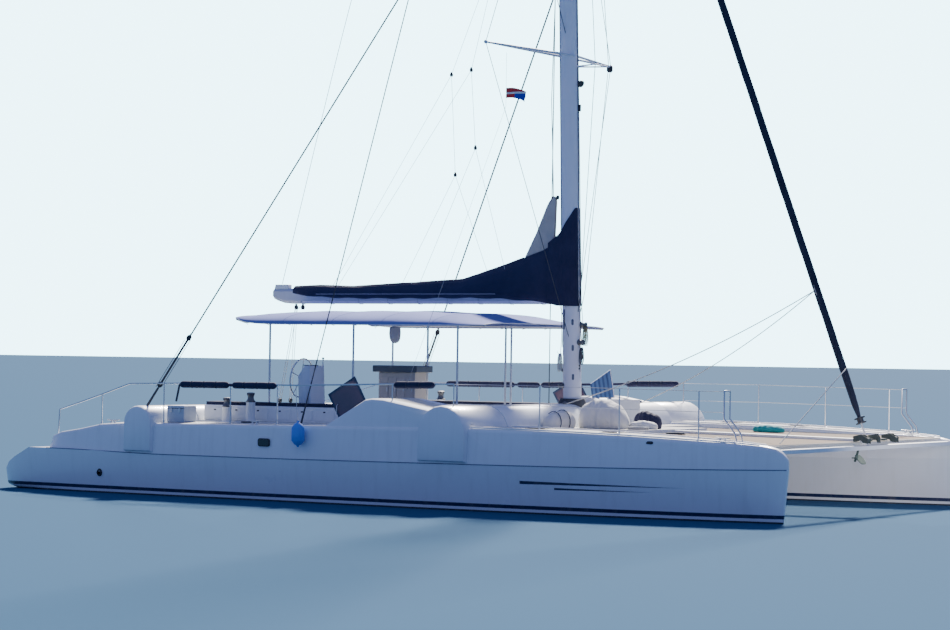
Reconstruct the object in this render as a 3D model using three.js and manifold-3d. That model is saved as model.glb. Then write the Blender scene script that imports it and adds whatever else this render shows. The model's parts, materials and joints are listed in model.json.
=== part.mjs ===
// Sailing catamaran for day trips, afloat, in millimetres.
// X points to the bow, Y to port and Z up; the origin is amidships on the waterline.
import * as THREE from 'three';
import { mergeVertices } from 'three/addons/utils/BufferGeometryUtils.js';
import Module from 'manifold-3d';

const wasm = await Module();
wasm.setup();

// Driving dimensions
const GAP = 0.4;
const HULL_Y = 4550;
const BRIDGE = { aft: -6250, fore: 3900, half: 3790, top: 1700, under: 1150, beamFoot: 1350 };
const PLATFORM = { fore: 5200, half: 1500, under: 1420 };
const MAIN_BEAM = { x: 2500, z: 1620, radius: 600, foot: 1030 };
const AFT_BEAM = { x: -5730, z: 1640, radius: 400, foot: 1000 };
const DOME_END = 5600;
const FRONT_BEAM = { x: 9840, z: 1505, radius: 95, end: 4640 };
const CENTRE_BEAM = { halfWidth: 120, depth: 200, aftFoot: 1480, foreFoot: 1410 };
const WELL = { aft: -500, fore: 140, half: 300, bottom: 900, top: 2600 };
const POD = { inner: 3740, outer: 5420, soft: 90 };
const LID = { slopeX: -620, slopeZ: 1720, angle: 0.529, start: 100, length: 820, width: 680, thick: 14 };
const KEEL = { fore: 2600, aft: -1900, top: -500, bottom: -1450, half: 150, foreRake: 500, aftRake: 400 };
const RUDDER = {
  x: -8150, bottom: -1320, lead: 170, trail: 500, half: 46, clear: 45, aftRake: 130, foreRake: 40,
  stock: 41, stockFoot: -650, stockTop: 240, bush: 0.75,
};
const SHAFT = { x: -7350, z: -830, slope: 0.12, radius: 24, length: 2050, hub: 55, blade: 270, bush: 0.9 };
const MAST = { x: 2500, foot: 2330, top: 26600, rake: 0.025, halfX: 230, halfY: 130, base: 2180 };
const COLLAR = { halfX: 320, halfY: 220 };
const STAY_TOP = { x: 1990, z: 22400 };
const FORESTAY = { radius: 10, bore: 10.9 };
const FURL = { start: 620, end: 20600, drumHeight: 150 };
const BOOM = { pivotX: 2100, fore: 2010, aft: -5950, bottom: 4490, top: 4860, half: 130 };
const COVER_MAST = { halfX: 300, halfY: 195, bottom: 4450, front: 170 };
const CANOPY = { edge: 3950, thick: 26, flatness: 2.6 };
const BAR = { aft: -2700, fore: -1660, half: 250, top: 2860, slab: 160, over: 110 };
const HELM = { aft: -2960, fore: -2560, inner: 2600, outer: 3200, top: 3000 };
const WHEEL = { z: 2700, radius: 450, tilt: 0.12, offset: 95, rim: 17, spoke: 11, spokes: 5 };
const BENCH = { inner: 3290, outer: 3710, top: 2060, cushion: 85 };
const RAIL = { drop: 420, radius: 17, post: 14, wire: 6, fromEdge: 190, bury: 60 };
const DECK_BOX = { aft: -5260, fore: -4760, inner: 4620, outer: 5080, top: 2050 };

// Hull stations: x, keel z, half-breadth at the water, knuckle z, knuckle half-breadth,
// then the upper moulding: half-breadth at its foot, half-breadth at the gunwale, deck z (0 = none).
const STATIONS = [
  [-9950, 60, 560, 260, 640, 0, 0, 0],
  [-9925, 0, 640, 470, 710, 0, 0, 0],
  [-9800, -45, 680, 630, 760, 0, 0, 0],
  [-9600, -85, 705, 755, 790, 0, 0, 0],
  [-9140, -155, 730, 990, 815, 0, 0, 0],
  [-8610, -235, 745, 990, 842, 690, 610, 1200],
  [-8560, -242, 747, 990, 845, 720, 640, 1290],
  [-8300, -285, 756, 990, 858, 770, 690, 1375],
  [-7700, -375, 780, 987, 888, 820, 745, 1460],
  [-7000, -465, 805, 976, 925, 870, 800, 1590],
  [-6200, -560, 822, 960, 942, 915, 860, 1635],
  [-5300, -635, 836, 945, 952, 945, 905, 1650],
  [-2000, -770, 842, 950, 962, 955, 915, 1690],
  [1900, -800, 830, 980, 962, 955, 915, 1755],
  [3900, -780, 755, 996, 912, 905, 870, 1752],
  [5400, -740, 660, 1010, 828, 820, 788, 1730],
  [6800, -680, 530, 1026, 700, 692, 664, 1690],
  [8000, -595, 388, 1042, 548, 540, 516, 1642],
  [9000, -475, 235, 1060, 362, 356, 338, 1600],
  [9600, -345, 125, 1071, 215, 210, 198, 1555],
  [9880, -240, 75, 1076, 132, 128, 118, 1500],
  [10010, -165, 52, 1079, 88, 84, 76, 1410],
  [10100, -95, 34, 1080, 52, 48, 42, 1310],
  [10120, -60, 28, 1081, 42, 38, 32, 1245],
];
const GUNWALE_RADIUS = 90;
const DECK_CROWN = 25;
const BILGE_STEPS = 5;
const GUNWALE_STEPS = 3;

const catamaran = new THREE.Group();

function finish(color, roughness, metalness = 0) {
  return { color, roughness, metalness };
}

const GELCOAT = finish(0xe9ecf2, 0.3);
const DECK_PAINT = finish(0xd9d2c3, 0.7);
const NAVY_CLOTH = finish(0x141a3c, 0.9);
const WHITE_CLOTH = finish(0xd5d6e8, 0.8);
const STEEL = finish(0xb9bcc0, 0.3, 1);
const MAST_PAINT = finish(0xe3e6ea, 0.35);
const BRONZE = finish(0xa07a3a, 0.35, 1);
const DARK_ACRYLIC = finish(0x2a2230, 0.15);
const NET_CORD = finish(0xb9ae98, 0.9);
const DARK_PLASTIC = finish(0x202326, 0.6);
const GREY_PLASTIC = finish(0x9fa6ad, 0.6);
const ANTIFOUL = finish(0x2b3440, 0.8);

// Geometry helpers

function solid(geometry) {
  let bare = geometry.clone();
  bare.deleteAttribute('normal');
  bare.deleteAttribute('uv');
  bare = mergeVertices(bare, 0.01);
  const triVerts = new Uint32Array(bare.index.array);
  const vertProperties = new Float32Array(bare.attributes.position.array);
  return new wasm.Manifold(new wasm.Mesh({ numProp: 3, vertProperties, triVerts }));
}

function geometryOf(manifold) {
  const mesh = manifold.getMesh();
  const geometry = new THREE.BufferGeometry();
  geometry.setAttribute('position', new THREE.BufferAttribute(new Float32Array(mesh.vertProperties), 3));
  geometry.setIndex(new THREE.BufferAttribute(new Uint32Array(mesh.triVerts), 1));
  return geometry;
}

function join(parts) {
  return parts.reduce((sum, part) => sum.add(part));
}

function cut(base, tools) {
  return tools.reduce((rest, tool) => rest.subtract(tool), base);
}

function add(name, shape, look) {
  const geometry = shape.isBufferGeometry ? shape : geometryOf(shape);
  geometry.computeVertexNormals();
  const mesh = new THREE.Mesh(geometry, new THREE.MeshStandardMaterial(look));
  mesh.name = name;
  catamaran.add(mesh);
}

function flipped(geometry) {
  const index = geometry.index.array;
  for (let i = 0; i < index.length; i += 3) {
    [index[i], index[i + 1]] = [index[i + 1], index[i]];
  }
  return geometry;
}

// Closed skin over rings of equal length, each end closed by a fan about its middle.
function loft(rings) {
  const count = rings[0].length;
  const points = rings.flat();
  const index = [];
  for (let r = 0; r + 1 < rings.length; r += 1) {
    for (let i = 0; i < count; i += 1) {
      const a = r * count + i;
      const b = r * count + (i + 1) % count;
      index.push(a, b, b + count, a, b + count, a + count);
    }
  }
  const middle = (ring) => ring.reduce((s, p) => s.clone().add(p), new THREE.Vector3()).divideScalar(count);
  points.push(middle(rings[0]), middle(rings[rings.length - 1]));
  const first = points.length - 2;
  const lastStart = (rings.length - 1) * count;
  for (let i = 0; i < count; i += 1) {
    const next = (i + 1) % count;
    index.push(first, next, i);
    index.push(first + 1, lastStart + i, lastStart + next);
  }
  const geometry = new THREE.BufferGeometry().setFromPoints(points);
  geometry.setIndex(index);
  return signedVolume(geometry) < 0 ? flipped(geometry) : geometry;
}

function signedVolume(geometry) {
  const p = geometry.attributes.position;
  const at = (i) => new THREE.Vector3().fromBufferAttribute(p, geometry.index.array[i]);
  let sum = 0;
  for (let i = 0; i < geometry.index.count; i += 3) {
    sum += at(i).dot(at(i + 1).cross(at(i + 2)));
  }
  return sum;
}

function box(x0, x1, y0, y1, z0, z1) {
  const geometry = new THREE.BoxGeometry(Math.abs(x1 - x0), Math.abs(y1 - y0), z1 - z0);
  return solid(geometry.translate((x0 + x1) / 2, (y0 + y1) / 2, (z0 + z1) / 2));
}

function vec(x, y, z) {
  return new THREE.Vector3(x, y, z);
}

// Round bar from one point to another, the second end with a radius of its own where one is given.
function rod(from, to, radius, sides = 8, endRadius = radius) {
  const along = to.clone().sub(from);
  const geometry = new THREE.CylinderGeometry(endRadius, radius, along.length(), sides);
  const turn = new THREE.Quaternion().setFromUnitVectors(vec(0, 1, 0), along.clone().normalize());
  geometry.applyQuaternion(turn);
  const middle = from.clone().add(to).multiplyScalar(0.5);
  return solid(geometry.translate(middle.x, middle.y, middle.z));
}

function ball(centre, radius, sides = 10) {
  return solid(new THREE.SphereGeometry(radius, sides, 6).translate(centre.x, centre.y, centre.z));
}

// Round tube through a list of points, mitred at each bend.
function bentRod(points, radius, sides = 6) {
  const across = vec(0.3, 0.2, 1);
  const rings = points.map((point, i) => {
    const ahead = (points[i + 1] ?? point).clone().sub(points[i + 1] ? point : points[i - 1]).normalize();
    const run = i > 0 ? point.clone().sub(points[i - 1]).normalize() : ahead.clone();
    const facing = run.clone().add(ahead).normalize();
    across.addScaledVector(run, -across.dot(run)).normalize();
    const up = run.clone().cross(across);
    const ring = [];
    for (let k = 0; k < sides; k += 1) {
      const a = (k / sides) * 2 * Math.PI;
      const spoke = across.clone().multiplyScalar(radius * Math.cos(a));
      spoke.addScaledVector(up, radius * Math.sin(a));
      ring.push(spoke.addScaledVector(run, -spoke.dot(facing) / run.dot(facing)).add(point));
    }
    return ring;
  });
  return solid(loft(rings));
}

// Outline in X and Z pushed out along Y between two values, with softened rims where asked.
function plateAlongY(outline, y0, y1, soft = 0, segments = 2) {
  const shape = new THREE.Shape(outline.map(([x, z]) => new THREE.Vector2(x, z)));
  const depth = Math.abs(y1 - y0) - 2 * soft;
  const geometry = new THREE.ExtrudeGeometry(shape, {
    depth, steps: 1, curveSegments: 8, bevelEnabled: soft > 0,
    bevelThickness: soft, bevelSize: soft, bevelOffset: -soft, bevelSegments: segments,
  });
  geometry.rotateX(Math.PI / 2);
  geometry.translate(0, Math.max(y0, y1) - soft, 0);
  return solid(geometry);
}

function ellipseRing(cx, cy, z, halfX, halfY, count) {
  const ring = [];
  for (let i = 0; i < count; i += 1) {
    const a = (i / count) * 2 * Math.PI;
    ring.push(vec(cx + halfX * Math.cos(a), cy + halfY * Math.sin(a), z));
  }
  return ring;
}

function lerp(a, b, t) {
  return a + (b - a) * t;
}

// Value of one column of a table of rows sorted by x.
function along(table, x, column) {
  const last = table.length - 1;
  if (x <= table[0][0]) return table[0][column];
  if (x >= table[last][0]) return table[last][column];
  const i = table.findIndex((row) => row[0] > x) - 1;
  const t = (x - table[i][0]) / (table[i + 1][0] - table[i][0]);
  return lerp(table[i][column], table[i + 1][column], t);
}

// Hulls: the lower moulding up to the knuckle, and the upper moulding with deck, pod and beam ends.

function stemShift(x, z) {
  const near = THREE.MathUtils.smoothstep(x, 8600, 10120);
  const rake = 100 * (1 - THREE.MathUtils.clamp(z / 1030, 0, 1));
  const forefoot = 1.1 * Math.max(0, -z);
  return -near * (rake + forefoot);
}

function lowerRing(row, side, grow) {
  const [x, keel, water, knee, kneeHalf] = row;
  const level = Math.max(0, lerp(keel, knee, 0.3));
  const half = [];
  for (let i = 1; i <= BILGE_STEPS; i += 1) {
    const a = (i / BILGE_STEPS) * Math.PI / 2;
    half.push([(water + grow) * Math.sin(a), level - (level - keel + grow) * Math.cos(a)]);
  }
  half.push([kneeHalf + grow, knee + grow]);
  return mirroredRing(x, half, keel - grow, knee + grow, side, true);
}

function upperRing(row, side, grow) {
  const [x, , , knee, , foot, gunwale, deck] = row;
  const round = Math.min(GUNWALE_RADIUS, gunwale * 0.6, (deck - knee) * 0.4);
  const half = [[foot + grow, knee + GAP - grow]];
  for (let i = 0; i <= GUNWALE_STEPS; i += 1) {
    const a = (i / GUNWALE_STEPS) * Math.PI / 2;
    const y = gunwale - round + (round + grow) * Math.cos(a);
    half.push([y, deck - round + (round + grow) * Math.sin(a)]);
  }
  const crown = Math.min(DECK_CROWN, gunwale * 0.05);
  return mirroredRing(x, half, knee + GAP - grow, deck + crown + grow, side, false);
}

function mirroredRing(x, half, low, high, side, shear) {
  const y0 = side * HULL_Y;
  const out = [[0, low], ...half, [0, high], ...half.slice().reverse().map(([y, z]) => [-y, z])];
  return out.map(([y, z]) => vec(x + (shear ? stemShift(x, z) : 0), y0 + y, z));
}

function lowerHull(side, grow = 0) {
  return solid(loft(STATIONS.map((row) => lowerRing(row, side, grow))));
}

function archOutline(beam, steps = 10) {
  const outline = [[beam.x - beam.radius, beam.foot]];
  outline.push([beam.x + beam.radius, beam.foot]);
  for (let i = 0; i <= steps; i += 1) {
    const a = (i / steps) * Math.PI;
    outline.push([beam.x + beam.radius * Math.cos(a), beam.z + beam.radius * Math.sin(a)]);
  }
  return outline;
}

const POD_OUTLINE = [
  [-620, 1500], [2500, 1500], [2500, 2060], [2060, 2120], [900, 2318], [600, 2330], [420, 2305], [-620, 1720],
];

function grownBeam(beam, grow) {
  return { ...beam, radius: beam.radius + grow };
}

function upperMoulding(side, grow = 0) {
  const rows = STATIONS.filter((row) => row[7] > 0);
  const body = solid(loft(rows.map((row) => upperRing(row, side, grow))));
  const inner = side * (POD.inner - grow);
  const outer = side * (POD.outer + grow);
  const pod = plateAlongY(POD_OUTLINE, inner, outer, POD.soft);
  const domes = [MAIN_BEAM, AFT_BEAM].map((beam) => plateAlongY(
    archOutline(grownBeam(beam, grow)), side * (HULL_Y - 800), side * (DOME_END + grow), 80));
  return join([body, pod, ...domes]);
}

function wellCut(side) {
  const y0 = side * (HULL_Y - WELL.half);
  const y1 = side * (HULL_Y + WELL.half);
  return box(WELL.aft, WELL.fore, y0, y1, WELL.bottom, WELL.top);
}

// Lid hinges: two knuckles at a distance from the lid's middle, each between two feet on the pod.
const HINGE = {
  radius: 11, half: 60, outerHalf: 130, at: 250, lift: 30, outboard: 60, foot: 8, root: 60, leaf: 16,
};

// Frame of the lid's hinge: origin on the slope's outboard edge, X up the slope, Z off it.
function hingeFrame(side) {
  const c = Math.cos(LID.angle);
  const s = Math.sin(LID.angle);
  const rise = LID.start + LID.length / 2;
  const x = LID.slopeX + rise * c - HINGE.lift * s;
  const z = LID.slopeZ + rise * s + HINGE.lift * c;
  const matrix = new THREE.Matrix4().makeBasis(vec(c, 0, s), vec(0, 1, 0), vec(-s, 0, c));
  return matrix.setPosition(x, side * (HULL_Y + WELL.half + HINGE.outboard), z);
}

function inFrame(matrix, geometry) {
  return solid(geometry.clone().applyMatrix4(matrix));
}

function bar(x0, x1, y0, y1, z0, z1) {
  const geometry = new THREE.BoxGeometry(x1 - x0, y1 - y0, z1 - z0);
  return geometry.translate((x0 + x1) / 2, (y0 + y1) / 2, (z0 + z1) / 2);
}

function barrel(x0, x1, radius) {
  const geometry = new THREE.CylinderGeometry(radius, radius, x1 - x0, 12);
  return geometry.rotateZ(Math.PI / 2).translate((x0 + x1) / 2, 0, 0);
}

function hingeFeet(side) {
  const frame = hingeFrame(side);
  const parts = [];
  for (const centre of [-HINGE.at, HINGE.at]) {
    for (const [x0, x1] of [[-HINGE.outerHalf, -HINGE.half - GAP], [HINGE.half + GAP, HINGE.outerHalf]]) {
      parts.push(inFrame(frame, barrel(centre + x0, centre + x1, HINGE.radius)));
      parts.push(inFrame(frame, bar(centre + x0, centre + x1, -HINGE.foot, HINGE.foot, -HINGE.root, 0)));
    }
  }
  return join(parts);
}

function companionwayLid(side) {
  const frame = hingeFrame(side);
  const half = LID.length / 2;
  const y0 = side > 0 ? -LID.thick - 2 : 2;
  const leaf = bar(-half, half, y0, y0 + LID.thick, HINGE.leaf, LID.width);
  const knuckles = [-HINGE.at, HINGE.at].flatMap((centre) => [
    barrel(centre - HINGE.half, centre + HINGE.half, HINGE.radius),
    bar(centre - HINGE.half, centre + HINGE.half, -LID.thick / 2, LID.thick / 2, 0, 2 * HINGE.leaf),
  ]);
  return join([leaf, ...knuckles].map((geometry) => inFrame(frame, geometry)));
}

// Everything that one hull carries below the water.

// Foil section of keel and rudder: share of the chord from the trailing edge, share of the half thickness.
const FOIL = [[0, 0.08], [0.32, 0.78], [0.65, 1], [0.9, 0.6]];

function foilRing(side, aft, fore, half, aftZ, foreZ = aftZ) {
  const at = (t, w) => vec(lerp(aft, fore, t), side * HULL_Y + w * half, lerp(aftZ, foreZ, t));
  const near = FOIL.map(([t, w]) => at(t, w));
  const far = FOIL.slice().reverse().map(([t, w]) => at(t, -w));
  return [...near, at(1, 0), ...far];
}

function keelFin(side) {
  const { aft, fore, top, bottom, half, aftRake, foreRake } = KEEL;
  const root = foilRing(side, aft, fore, half, top);
  const foot = foilRing(side, aft + aftRake, fore - foreRake, half, bottom);
  return solid(loft([root, foot])).subtract(lowerHull(side, GAP));
}

function hullBottom(x) {
  return along(STATIONS, x, 1);
}

function stockRod(side, radius, spare = 0) {
  const { x, stockFoot, stockTop } = RUDDER;
  return rod(vec(x, side * HULL_Y, stockFoot - spare), vec(x, side * HULL_Y, stockTop + spare), radius, 24);
}

function rudder(side) {
  const { x, lead, trail, half, clear, aftRake, foreRake, bottom } = RUDDER;
  const fore = x + lead;
  const aft = x - trail;
  const top = foilRing(side, aft, fore, half, hullBottom(aft) - clear, hullBottom(fore) - clear);
  const foot = foilRing(side, aft + aftRake, fore - foreRake, half * 0.6, bottom);
  return solid(loft([top, foot])).add(stockRod(side, RUDDER.stock));
}

function shaftPoint(side, distance) {
  const unit = Math.hypot(1, SHAFT.slope);
  return vec(SHAFT.x + distance / unit, side * HULL_Y, SHAFT.z + distance * SHAFT.slope / unit);
}

function shaftBore(side) {
  return rod(shaftPoint(side, -400), shaftPoint(side, SHAFT.length + 60), SHAFT.radius + SHAFT.bush, 16);
}

function shaftBracket(side) {
  const y = side * HULL_Y;
  const holder = rod(shaftPoint(side, 90), shaftPoint(side, 330), 48, 16);
  const at = shaftPoint(side, 210);
  const strut = box(at.x - 90, at.x + 90, y - 14, y + 14, at.z, -350);
  return cut(holder.add(strut), [shaftBore(side), lowerHull(side, GAP)]);
}

// Outline of one propeller blade: distance across it, share of the radius.
const BLADE = [[-10, 0.1], [70, 0.45], [95, 0.75], [60, 1], [-55, 1], [-85, 0.75], [-60, 0.4], [-15, 0.1]];

function bladeGeometry(angle) {
  const shape = new THREE.Shape(BLADE.map(([w, r]) => new THREE.Vector2(w, r * SHAFT.blade)));
  const geometry = new THREE.ExtrudeGeometry(shape, { depth: 14, steps: 1, bevelEnabled: false });
  geometry.translate(0, 0, -7);
  geometry.rotateY(Math.PI / 2 - 0.55);
  return geometry.rotateX(angle);
}

function propeller(side) {
  const frame = new THREE.Matrix4().makeRotationY(-Math.atan(SHAFT.slope));
  frame.setPosition(SHAFT.x, side * HULL_Y, SHAFT.z);
  const parts = [rod(shaftPoint(side, -60), shaftPoint(side, 80), SHAFT.hub, 16, SHAFT.hub)];
  parts.push(rod(shaftPoint(side, -150), shaftPoint(side, -60), 14, 16, SHAFT.hub));
  parts.push(rod(shaftPoint(side, 80), shaftPoint(side, SHAFT.length), SHAFT.radius, 16));
  for (let i = 0; i < 3; i += 1) {
    parts.push(inFrame(frame, bladeGeometry((i * 2 * Math.PI) / 3)));
  }
  return join(parts);
}

// One shape for each side, kept for the cuts that follow.
const SIDES = [['starboard', -1], ['port', 1]];
const grownUpper = SIDES.map(([, side]) => upperMoulding(side, GAP));
const grownLower = SIDES.map(([, side]) => lowerHull(side, GAP));

function addHulls() {
  SIDES.forEach(([name, side]) => {
    const bores = [stockRod(side, RUDDER.stock + RUDDER.bush, 10), shaftBore(side)];
    add(`hull_${name}`, cut(lowerHull(side), bores), GELCOAT);
    const deck = upperMoulding(side).subtract(wellCut(side)).add(hingeFeet(side));
    add(`deck_${name}`, deck, GELCOAT);
    add(`keel_${name}`, keelFin(side), ANTIFOUL);
    add(`rudder_${name}`, rudder(side), ANTIFOUL);
    add(`shaft_bracket_${name}`, shaftBracket(side), BRONZE);
    add(`propeller_${name}`, propeller(side), BRONZE);
    add(`companionway_lid_${name}`, companionwayLid(side), DARK_ACRYLIC);
  });
}

// Bridge deck, crossbeams, nets and what stands at the bow.

function crossbeam(beam) {
  const outline = archOutline({ ...beam, foot: BRIDGE.beamFoot });
  return cut(plateAlongY(outline, -BRIDGE.half, BRIDGE.half), grownUpper);
}

function bridgeDeck() {
  const { aft, fore, half, under, top, beamFoot } = BRIDGE;
  const main = box(aft, fore, -half, half, under, top);
  const platform = box(fore - 10, PLATFORM.fore, -PLATFORM.half, PLATFORM.half, PLATFORM.under, top);
  const beams = [MAIN_BEAM, AFT_BEAM].map((beam) => {
    const outline = archOutline({ ...grownBeam(beam, GAP), foot: beamFoot - GAP });
    return plateAlongY(outline, -half - 10, half + 10);
  });
  return cut(main.add(platform), [...grownUpper, ...beams]);
}

function frontBeamRod(grow) {
  const { x, z, radius, end } = FRONT_BEAM;
  return rod(vec(x, -end, z), vec(x, end, z), radius + grow, 16);
}

function centreBeam(grow) {
  const { halfWidth, depth, aftFoot, foreFoot } = CENTRE_BEAM;
  const fore = FRONT_BEAM.x;
  const aft = PLATFORM.fore + GAP - grow;
  const top = depth + grow;
  const outline = [[aft, aftFoot], [fore, foreFoot], [fore, foreFoot + top], [aft, aftFoot + top]];
  return plateAlongY(outline, -halfWidth - grow, halfWidth + grow).subtract(frontBeamRod(GAP));
}

const NET = { aftZ: 1640, foreZ: 1545, half: 8 };

function trampoline(side) {
  const x0 = BRIDGE.fore + GAP;
  const x1 = FRONT_BEAM.x;
  const { aftZ, foreZ, half } = NET;
  const outline = [[x0, aftZ - half], [x1, foreZ - half], [x1, foreZ + half], [x0, aftZ + half]];
  const sheet = plateAlongY(outline, side * (CENTRE_BEAM.halfWidth + GAP), side * (HULL_Y + 10));
  const reach = PLATFORM.half + GAP;
  const platform = box(BRIDGE.fore - 50, PLATFORM.fore + GAP, -reach, reach, PLATFORM.under, 1800);
  return cut(sheet, [...grownUpper, ...grownLower, frontBeamRod(GAP), platform]);
}

// Bow rollers on one plate across the front beam: y, width, reach forward of the beam.
const ROLLERS = [[-420, 170, 210], [330, 110, 120], [1080, 170, 210]];
const ROLLER = { behind: 130, ahead: 60, cheek: 14, radius: 52, z: 1600 };
const ROLLER_PLATE = { behind: 90, ahead: 60, bottom: 1585, top: 1612 };

function rollerPlate(grow) {
  const { behind, ahead, bottom, top } = ROLLER_PLATE;
  const first = ROLLERS[0][0] - grow;
  const last = ROLLERS[ROLLERS.length - 1][0] + grow;
  return box(FRONT_BEAM.x - behind - grow, FRONT_BEAM.x + ahead + grow, first, last, bottom, top + grow);
}

function bowRollers() {
  const { behind, ahead, cheek, radius, z } = ROLLER;
  const parts = ROLLERS.map(([y, width, reach]) => {
    const aft = FRONT_BEAM.x - behind;
    const fore = FRONT_BEAM.x + reach;
    const left = y - width / 2;
    const right = y + width / 2;
    const peak = [FRONT_BEAM.x + ahead, z + 120];
    const outline = [[aft, z - 25], [fore, z - 80], [fore, z + 40], peak, [aft, z + 80]];
    const cheeks = [left, right - cheek].map((y0) => plateAlongY(outline, y0, y0 + cheek));
    const roller = rod(vec(fore - radius, left, z), vec(fore - radius, right, z), radius, 12);
    const sole = box(aft, FRONT_BEAM.x + ahead, left, right, z - 40, z + 30);
    return join([...cheeks, roller, sole]);
  });
  parts.push(rollerPlate(0));
  return cut(join(parts), [frontBeamRod(GAP), centreBeam(GAP)]);
}

function addPlatform() {
  add('bridge_deck', bridgeDeck(), DECK_PAINT);
  add('main_beam', crossbeam(MAIN_BEAM), GELCOAT);
  add('aft_beam', crossbeam(AFT_BEAM), GELCOAT);
  add('front_beam', cut(frontBeamRod(0), grownUpper), GELCOAT);
  add('centre_beam', centreBeam(0), GELCOAT);
  SIDES.forEach(([name, side]) => add(`trampoline_${name}`, trampoline(side), NET_CORD));
  add('bow_rollers', bowRollers(), STEEL);
}

// Mast, spreaders and stays.

function mastX(z) {
  return MAST.x - MAST.rake * (z - MAST.base);
}

function mastSolid(grow) {
  const levels = [[MAST.foot - 2 * grow, 1], [14000, 1], [21500, 1], [MAST.top + grow, 0.6]];
  const { halfX, halfY } = MAST;
  const rings = levels.map(([z, k]) => ellipseRing(mastX(z), 0, z, halfX * k + grow, halfY * k + grow, 20));
  return solid(loft(rings));
}

const grownMast = mastSolid(GAP);

function mastStep() {
  const collar = solid(loft([
    ellipseRing(MAST.x, 0, 2050, COLLAR.halfX + 40, COLLAR.halfY + 40, 20),
    ellipseRing(MAST.x, 0, 2250, COLLAR.halfX + 20, COLLAR.halfY + 20, 20),
    ellipseRing(MAST.x, 0, MAST.foot - GAP, COLLAR.halfX - 20, COLLAR.halfY - 20, 20),
  ]));
  const beam = plateAlongY(archOutline(grownBeam(MAIN_BEAM, GAP)), -2000, 2000);
  return collar.subtract(beam);
}

// Spreader pairs with their diamond stays: height at the mast, half-span, sweep aft, tube radius,
// places of the roots on the mast, and the heights at which the diamond leaves and meets the mast.
const SPREADERS = [
  { name: 'lower', z: 10200, span: 2850, sweep: 500, radius: 32, roots: [170, -190], low: 3600, high: 16900 },
  { name: 'upper', z: 17000, span: 1900, sweep: 780, radius: 28, roots: [0], low: 10500, high: 24200 },
];
const TIP_RISE = 60;
const TIP_RADIUS = 46;
const DIAMOND_RADIUS = 8;

function spreader(row, side) {
  const tip = vec(mastX(row.z) - row.sweep, side * row.span, row.z + TIP_RISE);
  const root = (dx) => vec(mastX(row.z) + dx, 0, row.z);
  const arms = row.roots.map((dx) => rod(root(dx), tip, row.radius, 8, row.radius * 0.7));
  const wires = [row.low, row.high].map((z) => rod(vec(mastX(z), side * 60, z), tip, DIAMOND_RADIUS, 6));
  return join([...arms, ...wires, ball(tip, TIP_RADIUS)]).subtract(grownMast);
}

// Side stays: foot on the deck or dome, height on the mast; each has a rigging screw at its foot.
const CAP_SHROUD = { x: -1290, y: 5390, z: 1640, top: 25700 };
// The running backstays start on the after domes; the port one starts and ends lower.
const RUNNERS = {
  starboard: { x: AFT_BEAM.x, y: 5250, z: 1990, top: 17800 },
  port: { x: AFT_BEAM.x + 330, y: 5250, z: 1840, top: 12600 },
};
const STAY_RADIUS = 13;
const SCREW = { length: 520, foot: 24, head: 18 };

function sideStay(foot, side) {
  const low = vec(foot.x, side * foot.y, foot.z);
  const high = vec(mastX(foot.top), side * 40, foot.top);
  const unit = high.clone().sub(low).normalize();
  const screw = rod(low, low.clone().addScaledVector(unit, SCREW.length), SCREW.foot, 8, SCREW.head);
  return cut(rod(low, high, STAY_RADIUS, 6).add(screw), [grownMast, ...grownUpper]);
}

function stayPoint(distance) {
  const low = vec(FRONT_BEAM.x, 0, FRONT_BEAM.z);
  const unit = vec(STAY_TOP.x, 0, STAY_TOP.z).sub(low).normalize();
  return low.addScaledVector(unit, distance);
}

function forestay() {
  const wire = rod(stayPoint(20), stayPoint(22500), FORESTAY.radius, 8);
  const toggle = rod(stayPoint(60), stayPoint(FURL.start - FURL.drumHeight - GAP), 26, 10, 20);
  const swivelTop = rod(stayPoint(FURL.end + GAP), stayPoint(FURL.end + 260), 22, 8, 14);
  const around = [frontBeamRod(GAP), centreBeam(GAP), grownMast, rollerPlate(GAP)];
  return cut(join([wire, toggle, swivelTop]), around);
}

function alongStay(profile, start, sides) {
  const bore = FORESTAY.bore;
  const last = profile[profile.length - 1][0];
  const ring = [[bore, 0], ...profile.map(([d, r]) => [r, d]), [bore, last], [bore, 0]];
  const lathe = new THREE.LatheGeometry(ring.map(([r, d]) => new THREE.Vector2(r, d)), sides);
  const base = stayPoint(start);
  const unit = stayPoint(start + 1).sub(base).normalize();
  lathe.applyQuaternion(new THREE.Quaternion().setFromUnitVectors(vec(0, 1, 0), unit));
  return solid(lathe.translate(base.x, base.y, base.z));
}

// Furler drum: distance up from its foot, radius.
const DRUM_PROFILE = [
  [0, 120], [18, 120], [18, 70], [110, 70], [110, 120], [128, 120], [128, 45], [FURL.drumHeight - GAP, 45],
];

// Furled headsail: distance up the stay, radius.
const FURL_PROFILE = [
  [0, 42], [260, 78], [900, 90], [9000, 90], [17500, 70], [19600, 48], [FURL.end - FURL.start, 30],
];

function addRig() {
  add('mast_step', mastStep(), DARK_PLASTIC);
  add('mast', mastSolid(0), MAST_PAINT);
  SIDES.forEach(([name, side]) => {
    SPREADERS.forEach((row) => add(`${row.name}_spreader_${name}`, spreader(row, side), MAST_PAINT));
    add(`cap_shroud_${name}`, sideStay(CAP_SHROUD, side), STEEL);
    add(`runner_${name}`, sideStay(RUNNERS[name], side), STEEL);
  });
  add('forestay', forestay(), STEEL);
  add('furler_drum', alongStay(DRUM_PROFILE, FURL.start - FURL.drumHeight, 20), DARK_PLASTIC);
  add('headsail', alongStay(FURL_PROFILE, FURL.start, 14), NAVY_CLOTH);
}

// Boom with its cover, and the part of the cover that wraps the mast.

function pivotX(z) {
  return BOOM.pivotX - MAST.rake * (z - BOOM.bottom);
}

const NECK = { z: 4675, half: 115, plate: 16, radius: 38, pin: 16 };

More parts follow.
